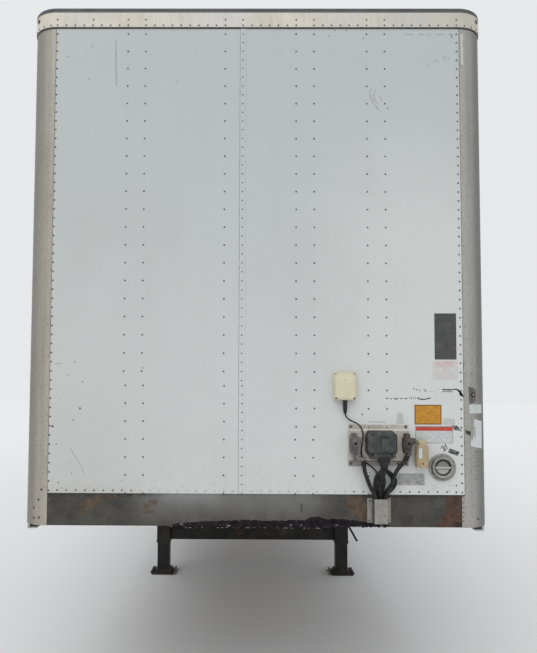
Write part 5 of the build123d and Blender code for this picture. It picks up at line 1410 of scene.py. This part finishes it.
# Black rubs: width, then the points of each stroke
black_rubs = (
    (0.0028, (0.868, 1.957), (0.878, 1.948)), (0.0028, (0.885, 1.952), (0.893, 1.944)),
    (0.0030, (0.901, 1.946), (0.909, 1.940)), (0.0024, (0.925, 1.949), (0.939, 1.948)),
    (0.0022, (0.929, 1.940), (0.945, 1.938)), (0.0024, (0.962, 1.940), (0.968, 1.936)),
    (0.0024, (0.979, 1.942), (0.985, 1.938)), (0.0022, (1.000, 1.951), (1.006, 1.946)),
    (0.0044, (1.028, 1.949), (1.066, 1.946), (1.106, 1.950), (1.122, 1.945)),
    (0.0022, (1.028, 1.937), (1.089, 1.936)),
    (0.0075, (1.112, 1.946), (1.126, 1.938), (1.132, 1.925), (1.146, 1.908)),
    (0.0028, (0.719, 1.903), (0.724, 1.895), (0.732, 1.901)), (0.0028, (0.740, 1.897), (0.752, 1.894)),
    (0.0034, (0.762, 1.901), (0.775, 1.893), (0.788, 1.900)), (0.0036, (0.795, 1.896), (0.812, 1.899)),
    (0.0036, (0.820, 1.897), (0.836, 1.897)), (0.0024, (0.848, 1.906), (0.852, 1.893)),
    (0.0026, (0.858, 1.906), (0.862, 1.893)), (0.0034, (0.868, 1.904), (0.873, 1.895)),
    (0.0034, (0.880, 1.905), (0.884, 1.897)),
    (0.0042, (0.890, 1.904), (0.902, 1.896), (0.930, 1.893), (0.967, 1.902)),
    (0.0026, (1.092, 3.966), (1.111, 3.964), (1.104, 3.943)),
    (0.0032, (1.067, 1.604), (1.085, 1.598), (1.118, 1.602)),
    (0.0026, (1.016, 1.622), (1.028, 1.640), (1.037, 1.616), (1.043, 1.649), (1.054, 1.625), (1.031, 1.607)),
)
# Pale rubs: long faint strokes
pale_rubs = (
    (0.0034, (0.842, 3.966), (0.888, 3.966)), (0.0034, (0.917, 3.966), (0.951, 3.965)),
    (0.0030, (0.967, 3.965), (0.992, 3.966)), (0.0030, (1.017, 3.966), (1.067, 3.966)),
    (0.0030, (1.010, 2.352), (1.030, 2.318), (1.040, 2.296), (1.056, 2.252)),
    (0.0034, (0.648, 3.656), (0.640, 3.620), (0.656, 3.569), (0.693, 3.522)),
    (0.0030, (0.675, 3.647), (0.660, 3.620), (0.666, 3.586), (0.685, 3.559)),
    (0.0030, (0.694, 3.611), (0.710, 3.577)), (0.0026, (1.016, 3.818), (1.032, 3.804)),
    (0.0026, (1.003, 3.825), (1.015, 3.808)), (0.0026, (0.961, 3.795), (0.983, 3.777)),
    (0.0022, (-1.123, 2.084), (-1.076, 2.084)), (0.0020, (-1.028, 1.622), (-0.978, 1.542), (-0.936, 1.462)),
    (0.0044, (-0.807, 3.934), (-0.804, 3.80), (-0.801, 3.663)),
    (0.0026, (0.621, 1.767), (0.650, 1.769), (0.690, 1.768), (0.719, 1.766)),
    (0.0022, (1.052, 3.842), (1.060, 3.812)), (0.0022, (1.068, 3.845), (1.072, 3.810)),
    (0.0022, (1.084, 3.843), (1.088, 3.816)),
)
# Dark spots and pale spots, as (x, z, radius)
dark_spots = (
    (0.739, 3.538, 0.005), (0.412, 3.959, 0.004), (0.445, 3.989, 0.004), (0.508, 3.988, 0.004),
    (0.604, 3.943, 0.004), (-0.942, 3.893, 0.004), (-0.956, 3.703, 0.004), (-1.083, 3.837, 0.004),
    (-1.046, 2.020, 0.004), (-0.964, 1.984, 0.004), (-0.975, 1.836, 0.0065), (-1.011, 1.771, 0.004),
    (-1.102, 1.638, 0.004), (-1.016, 1.478, 0.004), (-0.736, 1.439, 0.004), (-1.086, 1.429, 0.004),
    (-1.125, 1.736, 0.008), (-0.628, 2.061, 0.004), (-1.007, 2.092, 0.004), (0.588, 1.809, 0.0055),
    (0.626, 1.490, 0.004), (0.714, 1.856, 0.003), (0.978, 1.421, 0.004), (1.064, 1.422, 0.003),
    (1.101, 1.423, 0.0055), (1.064, 1.391, 0.0045), (0.990, 1.409, 0.003), (-1.069, 1.399, 0.003),
    (-1.019, 1.538, 0.003),
)
pale_spots = (
    (-0.606, 3.920, 0.004), (-0.350, 3.866, 0.004), (-0.455, 3.692, 0.004), (-0.020, 3.731, 0.004),
    (-1.019, 3.426, 0.004), (-0.933, 3.907, 0.005), (-1.082, 1.882, 0.004), (-0.980, 1.434, 0.004),
    (-0.943, 1.590, 0.003), (0.835, 1.788, 0.003), (0.835, 1.773, 0.003), (0.998, 1.900, 0.003),
    (0.060, 2.180, 0.004), (0.115, 2.020, 0.004),
)
# Scrapes across the road side post, where it has been backed into and tied against
post_scrapes = (
    (0.0022, (1.201, 1.531), (1.213, 1.525), (1.232, 1.532), (1.241, 1.527)),
    (0.0020, (1.205, 1.610), (1.226, 1.603), (1.246, 1.600)), (0.0018, (1.196, 1.590), (1.212, 1.586)),
    (0.0018, (1.207, 1.573), (1.236, 1.566)), (0.0020, (1.199, 1.549), (1.226, 1.553)),
    (0.0020, (1.206, 1.506), (1.240, 1.499)), (0.0018, (1.212, 1.480), (1.236, 1.483)),
    (0.0018, (1.203, 1.458), (1.232, 1.452)), (0.0024, (1.237, 1.985), (1.238, 2.030)),
    (0.0020, (1.236, 2.085), (1.237, 2.130)), (0.0018, (1.190, 2.040), (1.201, 2.037)),
)
for name, strokes, spots, widen, material, slot in (
    ("front_black_rubs", black_rubs, dark_spots, 1.5, grime, "white_sheet"),
    ("front_pale_rubs", pale_rubs, pale_spots, 1.0, faint_grime, "white_sheet"),
    ("post_scrapes", post_scrapes, (), 1.3, tape_scrap, "corner_aluminium"),
):
    marks = bmesh.new()
    for width, *points in strokes:
        smear(marks, points, width * widen, dice)
    for x, z, radius in spots:
        blot(marks, x, z, radius * 0.8, dice)
    new_piece(name, marks, material)


# Roof and floor rails down both sides: mill finish extrusions, dull grey with long streaks.
# The floor rails carry a stripe of red and white reflective tape and a row of bolts for the crossmembers.
rail_metal = weathered(
    "rail_aluminium", two_tone((0.34, 0.34, 0.335), (0.47, 0.47, 0.465), 0.03, (1, 40, 1)),
    dust=(0.14, 0.12, 0.09), amount=0.55, size=0.5, roughness=0.45, metallic=0.4,
)
dress(rail_metal, "top_rail_road", "top_rail_curb", "bottom_rail_road", "bottom_rail_curb")

sides = ((1, "road"), (-1, "curb"))
rail_near, rail_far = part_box("bottom_rail_road")
rail_face = rail_far.x
red_run, white_run = 0.279, 0.178


def repeats(place, axis, run):
    """How far a place is into its run, of runs repeated along an axis."""
    return sums("FLOORED_MODULO", along(place, axis), run)


def tape_paint(axis):
    """Red and white blocks along an axis, with the fine cells of reflective sheeting."""
    def lay(place):
        blocks = sums("GREATER_THAN", repeats(place, axis, red_run + white_run), red_run)
        honeycomb = {"Vector": place, "Scale": 260.0}
        cells = put(place, "TexVoronoi", honeycomb, feature="DISTANCE_TO_EDGE").outputs["Distance"]
        colour = tint(blocks, (0.30, 0.016, 0.014), (0.52, 0.52, 0.50))
        return layered(colour, (spread(cells, 0.08, 0.02), 0.35, (0.16, 0.15, 0.14)))
    return lay


side_tape = weathered(
    "side_reflective_tape", tape_paint("Y"), dust=(0.16, 0.13, 0.10), amount=0.45, size=0.25, roughness=0.35,
    coat=0.3,
)
back_tape = weathered(
    "back_reflective_tape", tape_paint("X"), dust=(0.16, 0.13, 0.10), amount=0.55, size=0.25, roughness=0.35,
    coat=0.3,
)
tape_low, tape_high, tape_gauge = 1.226, 1.277, 0.0004
end_margin, bolt_pitch, bolt_rows = 0.15, 0.3048, (1.172, 1.196)
bolt_count = int((rail_far.y - rail_near.y - 2 * end_margin) / bolt_pitch) + 1
for side, label in sides:
    low_x, high_x = sorted((side * rail_face, side * (rail_face + tape_gauge)))
    stripe = ((low_x, rail_near.y + end_margin, tape_low), (high_x, rail_far.y - end_margin, tape_high))
    slabs(f"side_tape_{label}", [stripe], side_tape)
    rail_bolts = [
        (Vector((side * rail_face, rail_near.y + end_margin + bolt_pitch * number, z)), Vector((side, 0, 0)))
        for number in range(bolt_count) for z in bolt_rows
    ]
    rivets(
        f"floor_rail_bolts_{label}", rail_bolts, radius=0.008, material=fastener,
        sides=6,
    )


# Rivets of the side walls: sheets 1.2 m wide over posts 0.4 m apart, closer rows where the sheets lap.
# Buttons are painted with the sheets, with a grey lap line at every third post.
side_near, side_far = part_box("side_wall_road")
post_pitch, rivet_pitch = 0.4064, 0.1016
lap_half, lap_gauge = 0.016, 0.0009
# How far the rows keep from the sheets' ends: the first rivet of a column, and the rows along the edges
first_up, last_down, edge_in, edge_start, tail_gap = 0.05, 0.03, 0.018, 0.03, 0.2
post_count = int((side_far.y - side_near.y - tail_gap) / post_pitch)
edge_count = int((side_far.y - side_near.y - 2 * edge_start) / rivet_pitch)
for side, label in sides:
    spots = []
    laps = []
    for number in range(1, post_count + 1):
        y = side_near.y + post_pitch * number
        at_lap = number % 3 == 0
        pitch = rivet_pitch / 2 if at_lap else rivet_pitch
        rows = int((side_far.z - side_near.z - (first_up + last_down)) / pitch) + 1
        spots += [(y, side_near.z + first_up + pitch * row) for row in range(rows)]
        if at_lap:
            low_x, high_x = sorted((side * half_width, side * (half_width + lap_gauge)))
            laps.append(((low_x, y - lap_half, side_near.z), (high_x, y + lap_half, side_far.z)))
    for z in (side_near.z + edge_in, side_far.z - edge_in):
        spots += [(side_near.y + edge_start + rivet_pitch * row, z) for row in range(edge_count)]
    heads = [(Vector((side * half_width, y, z)), Vector((side, 0, 0))) for y, z in spots]
    rivets(f"side_rivets_{label}", heads, radius=0.0055, material=pale_heads, sides=6)
    slabs(f"side_laps_{label}", laps, white_sheet)


# Floor: laminated hardwood boards laid lengthwise with shiplap joints, screwed to the crossmembers.
# Forklift tyres have scuffed them dark, and dirt has filled the joints.
board_width = 0.305


def board_paint(place):
    """Boards side by side with dark joints, grained lengthwise and scuffed."""
    joint = spread(repeats(place, "X", board_width), 0.004, 0.001)
    scuffs = spread(cloud(place, 0.35, 6, 0.7, (1, 6, 1)), 0.5, 0.7)
    return layered(
        tint(cloud(place, 0.012, 7, 0.65, (1, 45, 1)), (0.20, 0.115, 0.055), (0.42, 0.275, 0.15)),
        (joint, 0.9, (0.03, 0.02, 0.012)),
        (scuffs, 0.5, (0.10, 0.085, 0.07)),
    )


floor_wood = weathered(
    "floor_wood", board_paint, dust=(0.12, 0.10, 0.08), amount=0.4, size=0.5, roughness=0.6, grain=0.01,
    depth=0.0008,
)
dress(floor_wood, "floor")


# Chassis: everything under the floor is black enamel over welded steel, dusty on top of its
# flanges and rusting at welds and edges. The landing gear stands under the nose.
def chassis_paint(place):
    """Black enamel with dust settled on whatever looks up."""
    black = two_tone((0.0075, 0.0075, 0.0078), (0.022, 0.021, 0.020), 0.12)(place)
    up = spread(facing_up(place), 0.4, 0.95)
    settled = times(up, spread(cloud(place, 0.09, 5), 0.3, 0.6, 0.15, 0.5))
    return tint(settled, black, (0.11, 0.095, 0.075))


chassis_steel = weathered(
    "chassis_steel", chassis_paint, dust=(0.075, 0.062, 0.048), amount=0.45, size=0.4, roughness=0.58,
    grain=0.02, depth=0.0012, rust=(0.23, 0.22), gloss=0.3,
)
dress(
    chassis_steel, "upper_coupler", "crossmembers", "body_rails", "landing_leg_road", "landing_leg_curb",
    "landing_bracing", "underride_guard", "bogie_frame", "suspension", "axle_front", "axle_rear", "air_tank",
)
guard_low, guard_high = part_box("underride_guard")
guard_in, stripe_foot, stripe_head = 0.02, 0.025, 0.076
guard_stripe = (
    (guard_low.x + guard_in, guard_high.y, guard_low.z + stripe_foot),
    (guard_high.x - guard_in, guard_high.y + tape_gauge, guard_low.z + stripe_head),
)
slabs("guard_tape", [guard_stripe], back_tape)


# Kingpin: forged steel, turned and pressed into the coupler plate under the nose.
# It is bright where the tractor's jaws grip it and black with grease above.
def pin_paint(place):
    """Bright steel under patches of grease."""
    grease = spread(cloud(place, 0.02, 5), 0.4, 0.65)
    return tint(grease, (0.24, 0.23, 0.22), (0.03, 0.027, 0.024))


pin_steel = weathered(
    "kingpin_steel", pin_paint, dust=(0.03, 0.027, 0.024), amount=0.5, size=0.08, roughness=0.35,
    metallic=0.8,
)
dress(pin_steel, "kingpin")


# Rear frame: steel posts, header and sill, welded into one frame that carries the doors.
# Its pale grey paint is chipped at the docking height.
frame_paint = weathered(
    "frame_steel", two_tone((0.40, 0.415, 0.41), (0.50, 0.51, 0.50), 0.3),
    dust=(0.17, 0.14, 0.11), amount=0.6, size=0.35, roughness=0.48, grain=0.02, depth=0.0010,
    rust=(0.19, 0.1),
)
dress(frame_paint, "rear_post_road", "rear_post_curb", "rear_header", "rear_sill")


# Rear doors: plywood cores between white painted skins, dirty towards the foot, with black rubber
# seals round their edges. The seals and the lock gear swing with them.
def door_paint(place):
    """White enamel with road spray towards the foot."""
    white = two_tone((0.48, 0.505, 0.50), (0.55, 0.57, 0.565), 0.9)(place)
    spray = times(spread(along(place, "Z"), 2.4, 1.2), spread(cloud(place, 0.4, 7, 0.65), 0.3, 0.7))
    return layered(white, (spray, 0.6, (0.20, 0.175, 0.14)))


door_sheet = weathered(
    "door_sheet", door_paint, dust=(0.22, 0.19, 0.15), amount=0.45, size=0.6, roughness=0.44, grain=0.5,
    depth=0.003,
)
dress(door_sheet, "door_road", "door_curb")
seal_rubber = weathered(
    "door_seal_rubber", two_tone((0.012, 0.012, 0.012), (0.035, 0.034, 0.032), 0.05),
    dust=(0.11, 0.095, 0.08), amount=0.5, size=0.15, roughness=0.7,
)
seal_wide, seal_proud = 0.016, 0.003
for label in ("road", "curb"):
    low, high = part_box(f"door_{label}")
    left, right, foot, head = low.x, high.x, low.z, high.z
    edges = (
        (left, left + seal_wide, foot, head),
        (right - seal_wide, right, foot, head),
        (left + seal_wide, right - seal_wide, head - seal_wide, head),
        (left + seal_wide, right - seal_wide, foot, foot + seal_wide),
    )
    strips = [((x1, high.y, z1), (x2, high.y + seal_proud, z2)) for x1, x2, z1, z2 in edges]
    slabs(f"door_seal_{label}", strips, seal_rubber, rides=f"door_{label}")


# Wheels: pressed steel discs and rims in white enamel, with brake dust round the nuts.
# Each dual hangs on ten flanged nuts, and an oil cap closes its hub.
wheel_paint = weathered(
    "wheel_steel", two_tone((0.42, 0.42, 0.41), (0.52, 0.52, 0.51), 0.1),
    dust=(0.11, 0.085, 0.065), amount=0.85, size=0.2, roughness=0.5, grain=0.02, depth=0.0008,
    rust=(0.22, 0.09),
)
axle_height, dual_x = 0.505, 0.984
# Each wheel: its name, side, and the place of its hub across and along the trailer
wheels = [
    (f"{axle}_{label}", side, side * dual_x, axle_y)
    for axle, axle_y in (("front", 3.810), ("rear", 5.055)) for side, label in sides
]
dress(wheel_paint, *(f"wheel_{wheel[0]}" for wheel in wheels))
cap_metal = weathered(
    "hub_cap_metal", two_tone((0.30, 0.30, 0.29), (0.42, 0.42, 0.41), 0.03),
    dust=(0.09, 0.07, 0.055), amount=0.7, size=0.06, roughness=0.45, metallic=0.5,
)

nut_circle, nut_count, nut_seat = 0.14288, 10, 0.0335
hub_face, cap_screw_circle, cap_screw_count = 0.150, 0.0625, 6
cap_screw_seat, cap_screw_radius, cap_screw_height = 0.0085, 0.0062, 0.005
nut_flange = ((0, -0.006), (0.0255, -0.006), (0.0255, 0.004), (0.021, 0.006), (0, 0.006))
nut_hexagon = ((0, 0.004), (0.0185, 0.004), (0.0185, 0.024), (0.0165, 0.027), (0, 0.027))
stud_end = ((0, 0.02), (0.0108, 0.02), (0.0108, 0.040), (0.0095, 0.0415), (0, 0.0415))
cap_profile = (
    (0, -0.004), (0.071, -0.004), (0.071, 0.006), (0.066, 0.009), (0.056, 0.010),
    (0.052, 0.030), (0.046, 0.036), (0.030, 0.037), (0.028, 0.034), (0, 0.034),
)


def round_hub(count, start=0.0):
    """Directions to spots evenly round a hub, the first start of a step on."""
    angles = [math.tau * (number + start) / count for number in range(count)]
    return [Vector((0, math.cos(angle), math.sin(angle))) for angle in angles]


for name, side, hub_x, hub_y in wheels:
    outward = Vector((side, 0, 0))
    hub = Vector((hub_x, hub_y, axle_height))
    nuts = bmesh.new()
    for aside in round_hub(nut_count):
        seat = hub + outward * nut_seat + aside * nut_circle
        for profile, faces in ((nut_flange, 16), (nut_hexagon, 6), (stud_end, 10)):
            turn(nuts, profile, seat, outward, faces)
    new_piece(f"wheel_nuts_{name}", nuts, fastener, rides=f"wheels_{name}")
    cap = bmesh.new()
    cap_centre = hub + outward * hub_face
    turn(cap, cap_profile, cap_centre, outward, 32)
    for aside in round_hub(cap_screw_count, 0.5):
        seat = cap_centre + outward * cap_screw_seat + aside * cap_screw_circle
        turn(cap, plug(cap_screw_radius, 0, cap_screw_height), seat, outward, 6)
    new_piece(f"hub_cap_{name}", cap, cap_metal, rides=f"wheels_{name}", smooth=True)


# Tyres: highway ribs, four grooves round the tread and notched shoulders, black rubber grey with dust.
# They run in pairs and stand on the ground.
tyre_rubber = weathered(
    "tyre_rubber", two_tone((0.016, 0.0155, 0.015), (0.034, 0.032, 0.030), 0.05),
    dust=(0.10, 0.085, 0.065), amount=0.75, size=0.25, roughness=0.75, grain=0.004, depth=0.0006, gloss=0.3,
)
dual_half = 0.1665
# Half of a tyre's section, as (distance from its middle, radius)
tyre_section = (
    (0.0, 0.5050), (0.0225, 0.5050), (0.0235, 0.4935), (0.0325, 0.4935), (0.0335, 0.5050), (0.0695, 0.5047),
    (0.0705, 0.4930), (0.0795, 0.4930), (0.0805, 0.5043), (0.1040, 0.5030), (0.1190, 0.4995),
    (0.1275, 0.4920), (0.1335, 0.4800), (0.1370, 0.4660), (0.1395, 0.4480), (0.1420, 0.4280),
    (0.1420, 0.4040), (0.1400, 0.3870), (0.1418, 0.3850), (0.1395, 0.3800), (0.1330, 0.3560),
    (0.1225, 0.3300), (0.1150, 0.3150), (0.1130, 0.3080), (0.1090, 0.3035), (0.1020, 0.3015),
)
# The shoulder's places in the section, notched at every fourth step round the tyre
shoulder, notch_depth, tyre_steps = (9, 10, 11, 12), 0.007, 160
half_section = [(x, radius, place) for place, (x, radius) in enumerate(tyre_section)]
full_section = half_section + [(-x, radius, place) for x, radius, place in half_section[:0:-1]]
for name, side, hub_x, hub_y in wheels:
    tyres = bmesh.new()
    for offset in (-dual_half, dual_half):
        rings = []
        for step in range(tyre_steps):
            angle = math.tau * step / tyre_steps
            notch = notch_depth if step % 4 == 2 else 0.0
            ring = []
            for x, radius, place in full_section:
                reach = radius - (notch if place in shoulder else 0)
                y, z = hub_y + reach * math.cos(angle), axle_height + reach * math.sin(angle)
                ring.append(Vector((hub_x + offset + x, y, z)))
            rings.append(ring)
        loft(tyres, rings, looped=True)
    treaded = new_piece(
        f"treaded_tyres_{name}", tyres, tyre_rubber, rides=f"wheels_{name}", smooth=True,
    )
    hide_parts(f"tyres_{name}")


# Mud flaps: plain black rubber sheets bolted to steel bars behind the tandem.
# They are caked with mud at the foot.
def flap_paint(place):
    """Black rubber, muddy towards the foot."""
    mud = times(spread(along(place, "Z"), 0.75, 0.25), spread(cloud(place, 0.12, 7), 0.4, 0.65))
    return tint(mud, (0.017, 0.0165, 0.016), (0.12, 0.10, 0.075))


flap_rubber = weathered(
    "flap_rubber", flap_paint, dust=(0.10, 0.085, 0.065), amount=0.4, size=0.2, roughness=0.75, grain=0.006,
    depth=0.0006,
)
dress(flap_rubber, "mud_flaps")


# Marker lamps: moulded lenses over the front corners, along the sides and at the back.
# They are a dark dull red in front, amber along the sides and red behind.
def lens_paint(place):
    """Amber lenses, red at the back and dull at the top front corners."""
    length = along(place, "Y")
    amber = two_tone((0.30, 0.055, 0.012), (0.52, 0.14, 0.02), 0.01)(place)
    dull = two_tone((0.022, 0.010, 0.010), (0.065, 0.020, 0.017), 0.012)(place)
    red = two_tone((0.22, 0.008, 0.008), (0.42, 0.02, 0.014), 0.01)(place)
    front = times(spread(length, -7.6, -7.7), spread(along(place, "Z"), 3.4, 3.6))
    return tint(spread(length, 6.0, 6.4), tint(front, amber, dull), red)


lamp_lens = weathered(
    "lamp_lens", lens_paint, dust=(0.12, 0.10, 0.08), amount=0.35, size=0.08, roughness=0.2, grain=0.006,
    depth=0.0008, coat=0.4,
)
dress(lamp_lens, "lamps")
